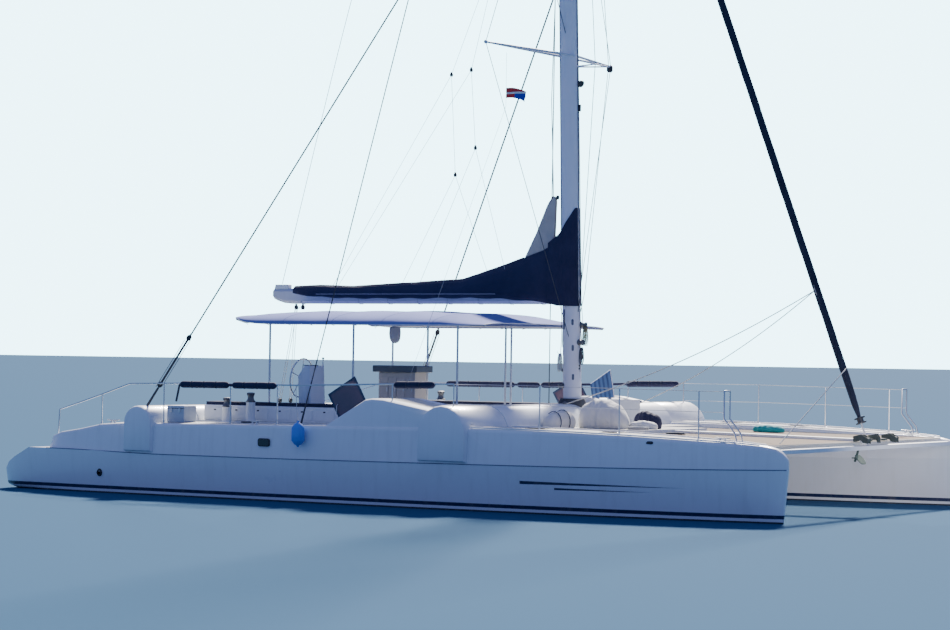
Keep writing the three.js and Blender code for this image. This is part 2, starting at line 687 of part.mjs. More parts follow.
// Frame of the gooseneck: origin on the pivot, Z along the raked pivot pin, X forward.
function neckFrame() {
  const matrix = new THREE.Matrix4().makeRotationY(-Math.atan(MAST.rake));
  return matrix.setPosition(pivotX(NECK.z), 0, NECK.z);
}

function upright(x, y, z0, z1, radius, sides) {
  const geometry = new THREE.CylinderGeometry(radius, radius, z1 - z0, sides);
  return geometry.rotateX(Math.PI / 2).translate(x, y, (z0 + z1) / 2);
}

function gooseneck() {
  const frame = neckFrame();
  const { half, plate, radius, pin } = NECK;
  const parts = [half, -half - plate].flatMap((z0) => [
    inFrame(frame, bar(0, 260, -radius, radius, z0, z0 + plate)),
    inFrame(frame, upright(0, 0, z0, z0 + plate, radius, 20)),
  ]);
  parts.push(inFrame(frame, upright(0, 0, -half - 4, half + 4, pin, 12)));
  return join(parts).subtract(grownMast);
}

function boomRing(x, grow) {
  const nose = THREE.MathUtils.clamp((x - BOOM.aft) / 500, 0, 1);
  const lift = 120 * (1 - nose) ** 2;
  const low = BOOM.bottom + lift - grow;
  const high = BOOM.top + grow;
  const half = BOOM.half + grow;
  const soft = 70;
  const ring = [[-half, low + soft], [-half + soft, low], [half - soft, low], [half, low + soft]];
  ring.push([half, high - soft], [half - soft, high], [-half + soft, high], [-half, high - soft]);
  return ring.map(([y, z]) => vec(x, y, z));
}

function boomSolid(grow = 0) {
  const xs = [BOOM.aft - grow, BOOM.aft + 120, BOOM.aft + 320, BOOM.aft + 520, -2000, BOOM.fore - 150 + grow];
  const spar = solid(loft(xs.map((x) => boomRing(x, grow))));
  const frame = neckFrame();
  const end = NECK.half - GAP + grow;
  const tongue = inFrame(frame, bar(-290, -5, -30 - grow, 30 + grow, -end, end));
  const eye = inFrame(frame, upright(0, 0, -end, end, NECK.radius, 20));
  const bore = inFrame(frame, upright(0, 0, -300, 300, NECK.pin + 0.8, 12));
  return join([spar, tongue, eye]).subtract(bore);
}

// Sail cover on the boom: x, top z, half-width, lower edge z.
const COVER = [
  [-5350, 4930, 140, 4700],
  [-4600, 4955, 185, 4640],
  [-3600, 4930, 200, 4610],
  [-2000, 5010, 210, 4610],
  [-500, 5090, 215, 4620],
  [100, 5260, 215, 4620],
  [700, 5440, 215, 4600],
  [1300, 5630, 210, 4560],
  [1700, 5770, 200, 4530],
  [1970, 5930, 185, 4500],
];

function coverRing([x, top, half, low]) {
  const waist = lerp(low, top, 0.45);
  const shoulder = lerp(low, top, 0.8);
  const ridge = [half * 0.28, top - 12];
  const right = [[half - 30, low], [half, low + 60], [half, waist], [half * 0.7, shoulder], ridge];
  const left = right.slice().reverse().map(([y, z]) => [-y, z]);
  return [...right, [0, top], ...left].map(([y, z]) => vec(x, y, z));
}

function sailCover() {
  return solid(loft(COVER.map(coverRing))).subtract(boomSolid(GAP));
}

// Head of the lowered sail above its cover: x, z.
const SAIL_HEAD = [
  [1150, 5600], [1880, 5870], [1985, 6000], [2020, 6860], [1930, 6970], [1760, 6740], [1500, 6150],
];

function sailHead() {
  const sheet = plateAlongY(SAIL_HEAD, -70, 70, 25, 1);
  const under = COVER.map(([x, top, half, low]) => coverRing([x, top + GAP, half, low]));
  return sheet.subtract(solid(loft(under)));
}

function mastCover() {
  const levels = [[COVER_MAST.bottom, 0.97], [4700, 1.04], [5400, 1.05], [6000, 0.98], [6700, 0.86]];
  const { halfX, halfY } = COVER_MAST;
  const rings = levels.map(([z, k]) => ellipseRing(mastX(z), 0, z, halfX * k, halfY * k, 20));
  const sleeve = solid(loft(rings));
  const outline = [[2000, 5880], [2190, 6010], [2720, 6560], [3000, 7200], [1500, 7200], [1500, 5700]];
  const slope = plateAlongY(outline, -600, 600);
  const doorway = box(1500, 2290, -600, 600, 4300, 4990);
  const edge = (z) => mastX(z) + COVER_MAST.front;
  const front = plateAlongY([[edge(4300), 4300], [3000, 4300], [3000, 7200], [edge(7200), 7200]], -600, 600);
  return cut(sleeve, [grownMast, slope, doorway, front]);
}

function addBoom() {
  add('gooseneck', gooseneck(), STEEL);
  add('boom', boomSolid(), MAST_PAINT);
  add('sail_cover', sailCover(), NAVY_CLOTH);
  add('sail_head', sailHead(), GREY_PLASTIC);
  add('mast_cover', mastCover(), NAVY_CLOTH);
}

// Cockpit: canopy, bar, helm, benches.

// Canopy bows: x, ridge height over the edge, half-width, rise of the edge.
const CANOPY_BOWS = [
  [-5140, 20, 2690, 135],
  [-4880, 120, 2720, 50],
  [-4500, 250, 2750, 15],
  [-4000, 300, 2750, 0],
  [-1100, 330, 2750, 0],
  [600, 270, 2750, 5],
  [1780, 60, 2720, 15],
];
const CANOPY_STEPS = 10;

// Arch of the cloth, flat on top and round at the sides: share of the half-width, share of the crown.
const ARCH = Array.from({ length: CANOPY_STEPS + 1 }, (_, i) => {
  const share = Math.sin(lerp(-0.5, 0.5, i / CANOPY_STEPS) * Math.PI);
  return [share, Math.sqrt(1 - Math.abs(share) ** CANOPY.flatness)];
});

function canopyRing([x, crown, half, rise], lift) {
  const across = ARCH.map(([share, height]) => [share * half, CANOPY.edge + rise + crown * height]);
  const top = across.map(([y, z]) => vec(x, y, z + CANOPY.thick + lift));
  const bottom = across.reverse().map(([y, z]) => vec(x, y, z - lift));
  return [...top, ...bottom];
}

function canopySolid(lift = 0) {
  return solid(loft(CANOPY_BOWS.map((row) => canopyRing(row, lift))));
}

// Canopy posts on the bridge deck: x, y. The inboard one stands beside the bar.
const POST_Y = 2660;
const POSTS = [
  [-4150, -POST_Y], [-1780, -POST_Y], [1050, -POST_Y], [-4250, POST_Y], [-930, POST_Y], [-770, POST_Y],
  [1050, POST_Y], [-1780, 470],
];
const FRAME_BOWS = [-4150, -1780, 1050];
const POST_RADIUS = 22;
const BOW_RADIUS = 18;
const BITE = 2;

// Tubes run just under the cloth, which is cut out of their tops.
function underCloth(x, y, radius) {
  const height = along(ARCH, y / along(CANOPY_BOWS, x, 2), 1);
  const edge = CANOPY.edge + along(CANOPY_BOWS, x, 3);
  return vec(x, y, edge + along(CANOPY_BOWS, x, 1) * height - radius + BITE);
}

function canopyFrame() {
  const foot = BRIDGE.top + GAP;
  const parts = POSTS.map(([x, y]) => rod(vec(x, y, foot), underCloth(x, y, POST_RADIUS), POST_RADIUS));
  for (const y of [-POST_Y, POST_Y]) {
    const rail = CANOPY_BOWS.map(([x]) => underCloth(x, y, POST_RADIUS));
    parts.push(bentRod(rail, POST_RADIUS));
  }
  for (const x of FRAME_BOWS) {
    const half = along(CANOPY_BOWS, x, 2);
    const bow = ARCH.map(([share]) => THREE.MathUtils.clamp(share * half, -POST_Y, POST_Y));
    parts.push(bentRod(bow.map((y) => underCloth(x, y, BOW_RADIUS)), BOW_RADIUS));
  }
  return cut(join(parts), [canopySolid(GAP)]);
}

function barBody() {
  return box(BAR.aft, BAR.fore, -BAR.half, BAR.half, BRIDGE.top + GAP, BAR.top);
}

function barTop() {
  const { aft, fore, half, over, top, slab } = BAR;
  return box(aft - over, fore + over, -half - over, half + over, top + GAP, top + slab);
}

function helmConsole() {
  const { aft, fore, inner, outer, top } = HELM;
  const foot = BRIDGE.top + GAP;
  const outline = [[aft + 60, foot], [fore, foot], [fore - 60, top], [aft + 180, top], [aft, top - 240]];
  const body = plateAlongY(outline, -outer, -inner, 40, 2);
  const boss = rod(helmPoint(40), helmPoint(-60), 60, 16);
  return body.add(boss);
}

// Wheel axis: through the sloping aft face of the console, pointing aft and up.
function helmPoint(distance) {
  const y = -(HELM.inner + HELM.outer) / 2;
  const back = distance * Math.cos(WHEEL.tilt);
  return vec(HELM.aft - back, y, WHEEL.z + distance * Math.sin(WHEEL.tilt));
}

function helmWheel() {
  const { radius, offset, rim, spoke, spokes } = WHEEL;
  const centre = helmPoint(offset);
  const unit = helmPoint(offset + 1).sub(centre);
  const turn = new THREE.Quaternion().setFromUnitVectors(vec(0, 0, 1), unit);
  const ring = new THREE.TorusGeometry(radius, rim, 6, 24).applyQuaternion(turn);
  const parts = [solid(ring.translate(centre.x, centre.y, centre.z))];
  parts.push(rod(helmPoint(40 + GAP), helmPoint(offset + 30), 55, 16));
  for (let i = 0; i < spokes; i += 1) {
    const a = (i / spokes) * 2 * Math.PI;
    const out = vec(Math.cos(a), Math.sin(a), 0).applyQuaternion(turn);
    const at = (distance) => centre.clone().addScaledVector(out, distance);
    parts.push(rod(at(40), at(radius), spoke, 6));
  }
  return join(parts);
}

// Benches along both sides: name, side, aft end, forward end.
const BENCHES = [['starboard', -1, -5250, -1450], ['port', 1, -5250, 1800]];

function addBenches() {
  const { inner, outer, top, cushion } = BENCH;
  const floor = box(BRIDGE.aft, BRIDGE.fore, -BRIDGE.half, BRIDGE.half, BRIDGE.under, BRIDGE.top + GAP);
  for (const [name, side, aft, fore] of BENCHES) {
    const body = box(aft, fore, side * inner, side * outer, BRIDGE.top, top);
    add(`bench_${name}`, cut(body, [...grownUpper, floor]), DECK_PAINT);
    const soft = box(aft + 20, fore - 20, side * (inner + 10), side * (outer - 10), top + GAP, top + cushion);
    add(`bench_cushion_${name}`, soft, NAVY_CLOTH);
  }
}

// Foredeck locker ahead of the mast. Its fore side runs aslant, and its lid stands open on the after edge.
const LOCKER = { aft: 3410, right: -620, left: 380, short: 330, long: 650, top: 2330, wall: 40, floor: 60 };
const LOCKER_LID = { thick: 32, open: 1.75, leaf: 22, over: 20, ribs: [-440, -240, -40, 160], rib: 30 };
const LOCKER_HINGE = { out: 14, at: [-400, 160], half: 60, outer: 110, radius: 13 };

function prism(points, z0, z1) {
  return solid(loft([z0, z1].map((z) => points.map(([x, y]) => vec(x, y, z)))));
}

function lockerDepth(y) {
  const { right, left, short, long } = LOCKER;
  return lerp(short, long, (y - right) / (left - right));
}

// Outline of the locker from above, its origin on the after edge, drawn in by a margin.
function lockerPlan(margin, start = margin) {
  const right = LOCKER.right + margin;
  const left = LOCKER.left - margin;
  const fore = [right, left].map((y) => [lockerDepth(y) - margin, y]);
  return [[start, right], ...fore, [start, left]];
}

function hingeRod(y0, y1) {
  const x = LOCKER.aft - LOCKER_HINGE.out;
  const z = LOCKER.top + LOCKER_HINGE.out;
  return rod(vec(x, y0, z), vec(x, y1, z), LOCKER_HINGE.radius, 12);
}

function foredeckLocker() {
  const { aft, top, wall, floor } = LOCKER;
  const { out, at, half: knuckle, outer } = LOCKER_HINGE;
  const stood = (margin) => lockerPlan(margin).map(([x, y]) => [aft + x, y]);
  const shell = prism(stood(0), BRIDGE.top + GAP, top);
  const hollow = prism(stood(wall), BRIDGE.top + floor, top + 10);
  const feet = at.flatMap((y) => [
    hingeRod(y - outer, y - knuckle - GAP),
    box(aft - 2 * out, aft + 1, y - outer, y - knuckle - GAP, top - 60, top + out),
  ]);
  return join([shell, ...feet]).subtract(hollow);
}

function lockerLid() {
  const { aft, top, wall } = LOCKER;
  const { thick, open, leaf, over, ribs, rib } = LOCKER_LID;
  const { out, at, half: knuckle } = LOCKER_HINGE;
  const frame = new THREE.Matrix4().makeRotationY(-open).setPosition(aft - out, 0, top + out);
  const outline = lockerPlan(0, leaf).map(([x, y]) => [x > leaf ? x + over : x, y]);
  const rings = [-8, thick - 8].map((z) => outline.map(([x, y]) => vec(x, y, z)));
  const parts = [inFrame(frame, loft(rings))];
  ribs.forEach((y) => {
    const end = lockerDepth(y - rib) - wall - out;
    parts.push(inFrame(frame, bar(wall + 2 * out, end, y - rib, y + rib, -15, -7)));
  });
  at.forEach((y) => parts.push(inFrame(frame, bar(0, leaf + 20, y - knuckle, y + knuckle, -6, 6))));
  at.forEach((y) => parts.push(hingeRod(y - knuckle, y + knuckle)));
  return join(parts);
}

// Sail bag beside the locker: x, middle y, half-width, top z.
const BAG = [
  [3330, -1100, 200, 2050],
  [3420, -1090, 330, 2200],
  [3720, -1060, 400, 2370],
  [4000, -1010, 450, 2380],
  [4250, -970, 440, 2290],
  [4420, -950, 360, 2110],
  [4480, -945, 280, 1990],
];

function bagRing([x, middle, half, top]) {
  const foot = BRIDGE.top + GAP;
  const profile = [[1, 0], [1.04, 0.3], [0.94, 0.65], [0.7, 0.9], [0.3, 1]];
  const right = profile.map(([w, h]) => vec(x, middle + half * w, lerp(foot, top, h)));
  const left = profile.slice().reverse().map(([w, h]) => vec(x, middle - half * w, lerp(foot, top, h)));
  return [...right, ...left];
}

function addCockpit() {
  add('canopy', canopySolid(), WHITE_CLOTH);
  add('canopy_frame', canopyFrame(), STEEL);
  add('bar_counter', barBody(), DECK_PAINT);
  add('bar_top', barTop(), DARK_PLASTIC);
  add('helm_console', helmConsole(), GELCOAT);
  add('helm_wheel', helmWheel(), STEEL);
  addBenches();
  add('foredeck_locker', foredeckLocker(), GELCOAT);
  add('locker_lid', lockerLid(), GREY_PLASTIC);
  add('sail_bag', solid(loft(BAG.map(bagRing))), WHITE_CLOTH);
}

// Guard rails: the outer edge of the deck at x, set in from the gunwale.

function railY(x, side) {
  const inset = Math.min(RAIL.fromEdge, along(STATIONS, x, 6) * 0.45);
  return side * (HULL_Y + along(STATIONS, x, 6) - inset);
}

function deckZ(x) {
  return along(STATIONS, x, 7);
}

// Top of the guard rail from the stern steps to the bow: x, z. It is tube as far as TUBE_END, then wire.
const TOP_LINE = [
  [-8560, 1240], [-8510, 1885], [-7960, 2030], [-7110, 2270], [-6240, 2530], [-4810, 2560], [-1500, 2575],
  [1200, 2650], [2620, 2670], [4700, 2670], [6520, 2650], [8240, 2630],
];
const TUBE_END = 2620;
const STANCHIONS = [-7110, -5200, -3300, -2000, 1060, TUBE_END, 4700, 6520, 8240];
const PULPIT = { foot: 9050, knee: 8985, kneeZ: 1780, bend: 8735, bendZ: 2080, top: 2640, half: 130 };

function topZ(x) {
  return along(TOP_LINE, x, 1);
}

function guardRail(side, grow = 0) {
  const at = (x, z) => vec(x, railY(x, side), z);
  const tube = TOP_LINE.filter(([x]) => x <= TUBE_END).map(([x, z]) => at(x, z));
  const parts = [bentRod(tube, RAIL.radius + grow)];
  STANCHIONS.forEach((x) => {
    parts.push(rod(at(x, deckZ(x) - RAIL.bury), at(x, topZ(x)), RAIL.post + grow, 6));
  });
  const { foot, knee, kneeZ, bend, bendZ, top, half } = PULPIT;
  for (const drop of [0, RAIL.drop]) {
    const wire = STANCHIONS.filter((x) => x >= TUBE_END).map((x) => at(x, topZ(x) - drop));
    wire.push(vec(bend, side * (HULL_Y + half), top - 12 - drop));
    parts.push(bentRod(wire, RAIL.wire, 4));
  }
  const bends = [[foot, deckZ(foot) - RAIL.bury], [knee, kneeZ], [bend, bendZ], [bend, top]];
  const leg = (dy) => bends.map(([x, z]) => vec(x, side * HULL_Y + dy, z));
  parts.push(bentRod([...leg(-half), ...leg(half).reverse()], RAIL.radius));
  return cut(join(parts), grownUpper);
}

// Leaning pads on the top rail: side, place, x of each padded stretch; a thin sleeve joins the stretches.
const PADS = [
  ['starboard', 'aft', [[-4730, -3350], [-3250, -2040]]],
  ['starboard', 'fore', [[1110, 2140]]],
  ['port', 'aft', [[-4730, -3350], [-3250, -2040]]],
  ['port', 'fore', [[-1450, 850], [1110, 2480]]],
];
const PAD = { radius: 60, sleeve: 30, low: 20 };

function railPad(side, stretches, rail) {
  const at = (x) => vec(x, railY(x, side), topZ(x) - PAD.low);
  const parts = stretches.map(([x0, x1]) => rod(at(x0), at(x1), PAD.radius, 10));
  parts.push(rod(at(stretches[0][0]), at(stretches[stretches.length - 1][1]), PAD.sleeve, 10));
  return join(parts).subtract(rail);
}

function addRails() {
  const grownRails = { starboard: guardRail(-1, GAP), port: guardRail(1, GAP) };
  SIDES.forEach(([name, side]) => add(`guard_rail_${name}`, guardRail(side), STEEL));
  for (const [name, place, stretches] of PADS) {
    const side = name === 'port' ? 1 : -1;
    add(`rail_pad_${name}_${place}`, railPad(side, stretches, grownRails[name]), NAVY_CLOTH);
  }
  const { aft, fore, inner, outer, top } = DECK_BOX;
  add('deck_box', cut(box(aft, fore, -outer, -inner, 1600, top), grownUpper), GREY_PLASTIC);
}

addHulls();
addPlatform();
addRig();
addBoom();
addCockpit();
addRails();

export default catamaran;
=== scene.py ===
import json
import math
import bmesh
import bpy
from mathutils import Matrix, Vector, noise
from mathutils.bvhtree import BVHTree

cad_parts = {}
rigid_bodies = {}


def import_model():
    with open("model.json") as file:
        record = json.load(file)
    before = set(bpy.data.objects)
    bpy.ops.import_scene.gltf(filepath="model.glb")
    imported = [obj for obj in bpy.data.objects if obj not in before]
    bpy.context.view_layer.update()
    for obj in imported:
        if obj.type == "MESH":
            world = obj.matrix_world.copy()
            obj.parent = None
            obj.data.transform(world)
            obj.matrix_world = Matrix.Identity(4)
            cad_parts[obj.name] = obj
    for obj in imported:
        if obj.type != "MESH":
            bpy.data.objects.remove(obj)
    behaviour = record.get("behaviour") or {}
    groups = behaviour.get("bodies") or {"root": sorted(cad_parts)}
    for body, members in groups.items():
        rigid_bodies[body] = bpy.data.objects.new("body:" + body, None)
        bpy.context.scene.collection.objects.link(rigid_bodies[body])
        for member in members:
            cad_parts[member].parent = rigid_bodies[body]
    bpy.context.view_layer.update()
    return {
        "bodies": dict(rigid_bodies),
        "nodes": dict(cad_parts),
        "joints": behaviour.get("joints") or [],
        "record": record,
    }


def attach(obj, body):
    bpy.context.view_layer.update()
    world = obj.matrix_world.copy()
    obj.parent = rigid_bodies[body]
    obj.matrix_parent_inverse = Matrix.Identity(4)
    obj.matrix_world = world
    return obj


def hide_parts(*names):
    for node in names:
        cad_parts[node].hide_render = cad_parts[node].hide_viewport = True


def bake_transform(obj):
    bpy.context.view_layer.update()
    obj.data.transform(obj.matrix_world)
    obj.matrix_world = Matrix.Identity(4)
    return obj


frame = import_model()

# Camera
# It stands off the starboard bow, three metres above the waterline, and looks aft along the side at a long
# focal length, a little upwards and with a slight roll.
CAMERA_AT = Vector((33.266, -53.46, 3.317))
CAMERA_LENS = 101.82
CAMERA_HEADING = math.radians(57.98)
CAMERA_PITCH = math.radians(0.834)
CAMERA_ROLL = math.radians(0.796)


def camera_axes():
    ahead = Vector((-math.cos(CAMERA_HEADING), math.sin(CAMERA_HEADING), 0))
    aside = Vector((math.sin(CAMERA_HEADING), math.cos(CAMERA_HEADING), 0))
    above = Vector((0, 0, 1))
    look = ahead * math.cos(CAMERA_PITCH) + above * math.sin(CAMERA_PITCH)
    lift = above * math.cos(CAMERA_PITCH) - ahead * math.sin(CAMERA_PITCH)
    right = aside * math.cos(CAMERA_ROLL) + lift * math.sin(CAMERA_ROLL)
    return right, look.cross(right) * -1, -look


camera_data = bpy.data.cameras.new("camera")
camera_data.lens = CAMERA_LENS
camera_data.sensor_width = 36
camera_data.clip_end = 2000
camera = bpy.data.objects.new("camera", camera_data)
camera.matrix_world = Matrix.Translation(CAMERA_AT) @ Matrix(camera_axes()).transposed().to_4x4()
bpy.context.scene.collection.objects.link(camera)
bpy.context.scene.camera = camera

# Light and floor
# A bright light comes from abaft the port beam, as the sun does, and a pale blue dome fills the side
# that it leaves in shade. The floor lies at the waterline.
SUN_FROM = Vector((-0.27, 0.74, 0.60))
SUN_COLOUR = (1.0, 0.95, 0.88)
SUN_STRENGTH = 13.0
SUN_ANGLE = math.radians(8)
SKY_COLOUR = (0.33, 0.44, 1.0)
SKY_STRENGTH = 0.57
BACKDROP_COLOUR = (0.50, 0.86, 1.0)
BACKDROP_STRENGTH = 8.0
FLOOR_HALF = 900
FLOOR_TONES = ((0.030, 0.095, 0.175, 1), (0.040, 0.115, 0.205, 1))

sun_data = bpy.data.lights.new("sun", "SUN")
sun_data.color = SUN_COLOUR
sun_data.energy = SUN_STRENGTH
sun_data.angle = SUN_ANGLE
sun = bpy.data.objects.new("sun", sun_data)
sun.rotation_euler = SUN_FROM.to_track_quat("Z", "Y").to_euler()
bpy.context.scene.collection.objects.link(sun)


def put(tree, kind, feed=None, **settings):
    """Adds a shader node, sets its properties, and feeds its inputs from other nodes or with values."""
    node = tree.nodes.new("ShaderNode" + kind)
    for name, value in settings.items():
        setattr(node, name, value)
    for name, source in (feed or {}).items():
        if isinstance(source, bpy.types.NodeSocket):
            tree.links.new(source, node.inputs[name])
        else:
            node.inputs[name].default_value = source
    return node


world = bpy.data.worlds.new("studio")
world.use_nodes = True
bpy.context.scene.world = world
sky = put(world.node_tree, "Background", {"Color": (*SKY_COLOUR, 1), "Strength": SKY_STRENGTH})
backdrop = put(world.node_tree, "Background", {"Color": (*BACKDROP_COLOUR, 1), "Strength": BACKDROP_STRENGTH})
seen = put(world.node_tree, "LightPath").outputs["Is Camera Ray"]
studio = put(world.node_tree, "MixShader", {0: seen, 1: sky.outputs[0], 2: backdrop.outputs[0]})
world.node_tree.links.new(studio.outputs[0], world.node_tree.nodes["World Output"].inputs["Surface"])


def finish(name, colour, roughness, metallic=0.0, **more):
    """New material; returns it with its node tree and its shader. More sockets are given by their names."""
    material = bpy.data.materials.new(name)
    material.use_nodes = True
    shader = material.node_tree.nodes["Principled BSDF"]
    shader.inputs["Base Color"].default_value = (*colour, 1)
    shader.inputs["Roughness"].default_value = roughness
    shader.inputs["Metallic"].default_value = metallic
    for socket, value in more.items():
        shader.inputs[socket.replace("_", " ")].default_value = value
    return material, material.node_tree, shader


def floor_finish():
    material, tree, shader = finish("studio_floor", FLOOR_TONES[0][:3], 0.95, Specular_IOR_Level=0.05)
    drift = put(tree, "TexNoise", {"Scale": 0.05, "Detail": 3.0})
    tone = put(tree, "MixRGB", {"Fac": drift.outputs["Fac"], "Color1": FLOOR_TONES[0],
                                "Color2": FLOOR_TONES[1]})
    tree.links.new(tone.outputs[0], shader.inputs["Base Color"])
    return material


floor_mesh = bmesh.new()
bmesh.ops.create_grid(floor_mesh, x_segments=1, y_segments=1, size=FLOOR_HALF)
floor_data = bpy.data.meshes.new("floor")
floor_mesh.to_mesh(floor_data)
floor_mesh.free()
floor = bpy.data.objects.new("floor", floor_data)
floor.data.materials.append(floor_finish())
bpy.context.scene.collection.objects.link(floor)

# Fill between the hulls
# A soft warm lamp low ahead of the bows lights the inner side of the far hull, in the place of the light
# that a bright surface round the boat throws up there.
BOUNCE_AT = Vector((13.5, -1.5, 1.2))
BOUNCE_TO = Vector((7.5, 4.0, 0.7))
BOUNCE_COLOUR = (1.0, 0.93, 0.86)
BOUNCE_STRENGTH = 60
BOUNCE_SIZE = 3.5
BOUNCE_SPREAD = math.radians(75)
bounce_data = bpy.data.lights.new("bounce", "AREA")
bounce_data.energy = BOUNCE_STRENGTH
bounce_data.size = BOUNCE_SIZE
bounce_data.spread = BOUNCE_SPREAD
bounce_data.color = BOUNCE_COLOUR
bounce = bpy.data.objects.new("bounce", bounce_data)
bounce.location = BOUNCE_AT
bounce.rotation_euler = (BOUNCE_AT - BOUNCE_TO).to_track_quat("Z", "Y").to_euler()
bpy.context.scene.collection.objects.link(bounce)

# Lower hulls
# Two slender hulls of glass fibre in white gelcoat, with a navy boot stripe above a thin white one at the
# waterline, dark paint below, and two plain tapered stripes on the outer side.
SIDES = {"starboard": -1, "port": 1}
HULL_Y = 4.55
GELCOAT_WHITE = (0.80, 0.83, 0.87)
NAVY_PAINT = (0.012, 0.022, 0.075)
ANTIFOUL_BLUE = (0.030, 0.045, 0.060)
BOOT_STRIPE = (0.095, 0.172)
ANTIFOUL_TOP = 0.035
# Stripes: x of the wide end, x of the point, height, half width.
TAPERED_STRIPES = [(4.35, 8.05, 0.655, 0.034), (5.15, 7.35, 0.545, 0.022)]
SMOOTH_ANGLE = math.radians(32)


def effect(name, inputs, outputs):
    """New group of shader nodes; returns its tree, its inputs and the node that its outputs go to."""
    tree = bpy.data.node_groups.new(name, "ShaderNodeTree")
    for label, kind, value in inputs:
        socket = tree.interface.new_socket(label, in_out="INPUT", socket_type="NodeSocket" + kind)
        socket.default_value = value
    for label, kind in outputs:
        tree.interface.new_socket(label, in_out="OUTPUT", socket_type="NodeSocket" + kind)
    return tree, tree.nodes.new("NodeGroupInput").outputs, tree.nodes.new("NodeGroupOutput").inputs


def apply_effect(tree, group, feed):
    return put(tree, "Group", feed, node_tree=group).outputs


def compute(tree, operation, *values, clamp=False):
    node = put(tree, "Math", dict(enumerate(values)), operation=operation, use_clamp=clamp)
    return node.outputs[0]


def blend(tree, mask, one, two):
    """Colour one where the mask is 0 and colour two where it is 1."""
    return put(tree, "MixRGB", {"Fac": mask, "Color1": one, "Color2": two}).outputs[0]


def mapped(tree, scale):
    place = put(tree, "TexCoord").outputs["Object"]
    return put(tree, "Mapping", {"Vector": place, "Scale": scale}).outputs[0]


def object_axes(tree):
    return put(tree, "SeparateXYZ", {0: put(tree, "TexCoord").outputs["Object"]}).outputs


def make_weathering():
    """Years of salt and sun: soft mottling, streaks that ran down, and a slightly uneven gloss."""
    tree, given, result = effect("weathering", [
        ("Colour", "Color", (0.8, 0.8, 0.8, 1)), ("Grime", "Color", (0.4, 0.38, 0.33, 1)),
        ("Roughness", "Float", 0.3), ("Amount", "Float", 0.3), ("Scale", "Float", 1.0)],
        [("Colour", "Color"), ("Roughness", "Float"), ("Height", "Float")])
    size = put(tree, "VectorMath", {0: mapped(tree, (1, 1, 1)), "Scale": given["Scale"]}, operation="SCALE")
    clouds = put(tree, "TexNoise", {"Vector": size.outputs[0], "Scale": 0.9, "Detail": 5.0, "Roughness": 0.6})
    tall = put(tree, "VectorMath", {0: mapped(tree, (7, 7, 0.55)), "Scale": given["Scale"]},
               operation="SCALE")
    streaks = put(tree, "TexNoise", {"Vector": tall.outputs[0], "Scale": 1.0, "Detail": 4.0})
    specks = put(tree, "TexNoise", {"Vector": size.outputs[0], "Scale": 60.0, "Detail": 2.0})
    run = compute(tree, "SMOOTH_MIN", compute(tree, "SUBTRACT", streaks.outputs["Fac"], 0.52), 0.2, 0.05)
    soft = compute(tree, "SUBTRACT", clouds.outputs["Fac"], 0.42)
    dirt = compute(tree, "ADD", compute(tree, "MULTIPLY", run, 2.2, clamp=True), soft)
    dirt = compute(tree, "MULTIPLY", dirt, given["Amount"], clamp=True)
    tree.links.new(blend(tree, dirt, given["Colour"], given["Grime"]), result["Colour"])
    rough = compute(tree, "MULTIPLY", clouds.outputs["Fac"], given["Amount"])
    tree.links.new(compute(tree, "ADD", given["Roughness"], rough), result["Roughness"])
    tree.links.new(compute(tree, "ADD", specks.outputs["Fac"], streaks.outputs["Fac"]), result["Height"])
    return tree


weathering = make_weathering()


def weathered(tree, shader, colour, roughness, amount, scale=1.0, bump=0.02, grime=(0.42, 0.40, 0.36)):
    """Feeds the shader from the weathering effect and gives it a shallow unevenness."""
    worn = apply_effect(tree, weathering, {"Colour": colour, "Grime": (*grime, 1), "Roughness": roughness,
                                           "Amount": amount, "Scale": scale})
    tree.links.new(worn["Colour"], shader.inputs["Base Color"])
    tree.links.new(worn["Roughness"], shader.inputs["Roughness"])
    relief = put(tree, "Bump", {"Height": worn["Height"], "Strength": bump, "Distance": 0.01})
    tree.links.new(relief.outputs[0], shader.inputs["Normal"])


def band(tree, value, low, high):
    """Mask that is 1 where the value lies between low and high."""
    above = compute(tree, "GREATER_THAN", value, low)
    return compute(tree, "MULTIPLY", above, compute(tree, "LESS_THAN", value, high))


def hull_finish():
    material, tree, shader = finish("hull_gelcoat", GELCOAT_WHITE, 0.22, Coat_Weight=0.35)
    place = object_axes(tree)
    colour = (*GELCOAT_WHITE, 1)
    outside = compute(tree, "GREATER_THAN", compute(tree, "ABSOLUTE", place["Y"]), HULL_Y)
    for start, end, level, half in TAPERED_STRIPES:
        share = compute(tree, "DIVIDE", compute(tree, "SUBTRACT", end, place["X"]), end - start)
        reach = compute(tree, "MULTIPLY", share, half)
        away = compute(tree, "ABSOLUTE", compute(tree, "SUBTRACT", place["Z"], level))
        mask = compute(tree, "MULTIPLY", compute(tree, "LESS_THAN", away, reach), outside)
        mask = compute(tree, "MULTIPLY", mask, band(tree, share, 0.0, 1.0))
        colour = blend(tree, mask, colour, (*NAVY_PAINT, 1))
    colour = blend(tree, band(tree, place["Z"], *BOOT_STRIPE), colour, (*NAVY_PAINT, 1))
    under = compute(tree, "LESS_THAN", place["Z"], ANTIFOUL_TOP)
    colour = blend(tree, under, colour, (*ANTIFOUL_BLUE, 1))
    weathered(tree, shader, colour, 0.20, 0.22, grime=(0.50, 0.48, 0.40))
    return material


def on_boat(piece, body, replaces=()):
    """Fixes a piece to a body. Given two bodies as (first, second, start, end), it only bakes the piece's
    place.
    """
    if isinstance(body, tuple):
        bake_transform(piece)
    else:
        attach(piece, body)
    if replaces:
        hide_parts(*replaces)
    return piece


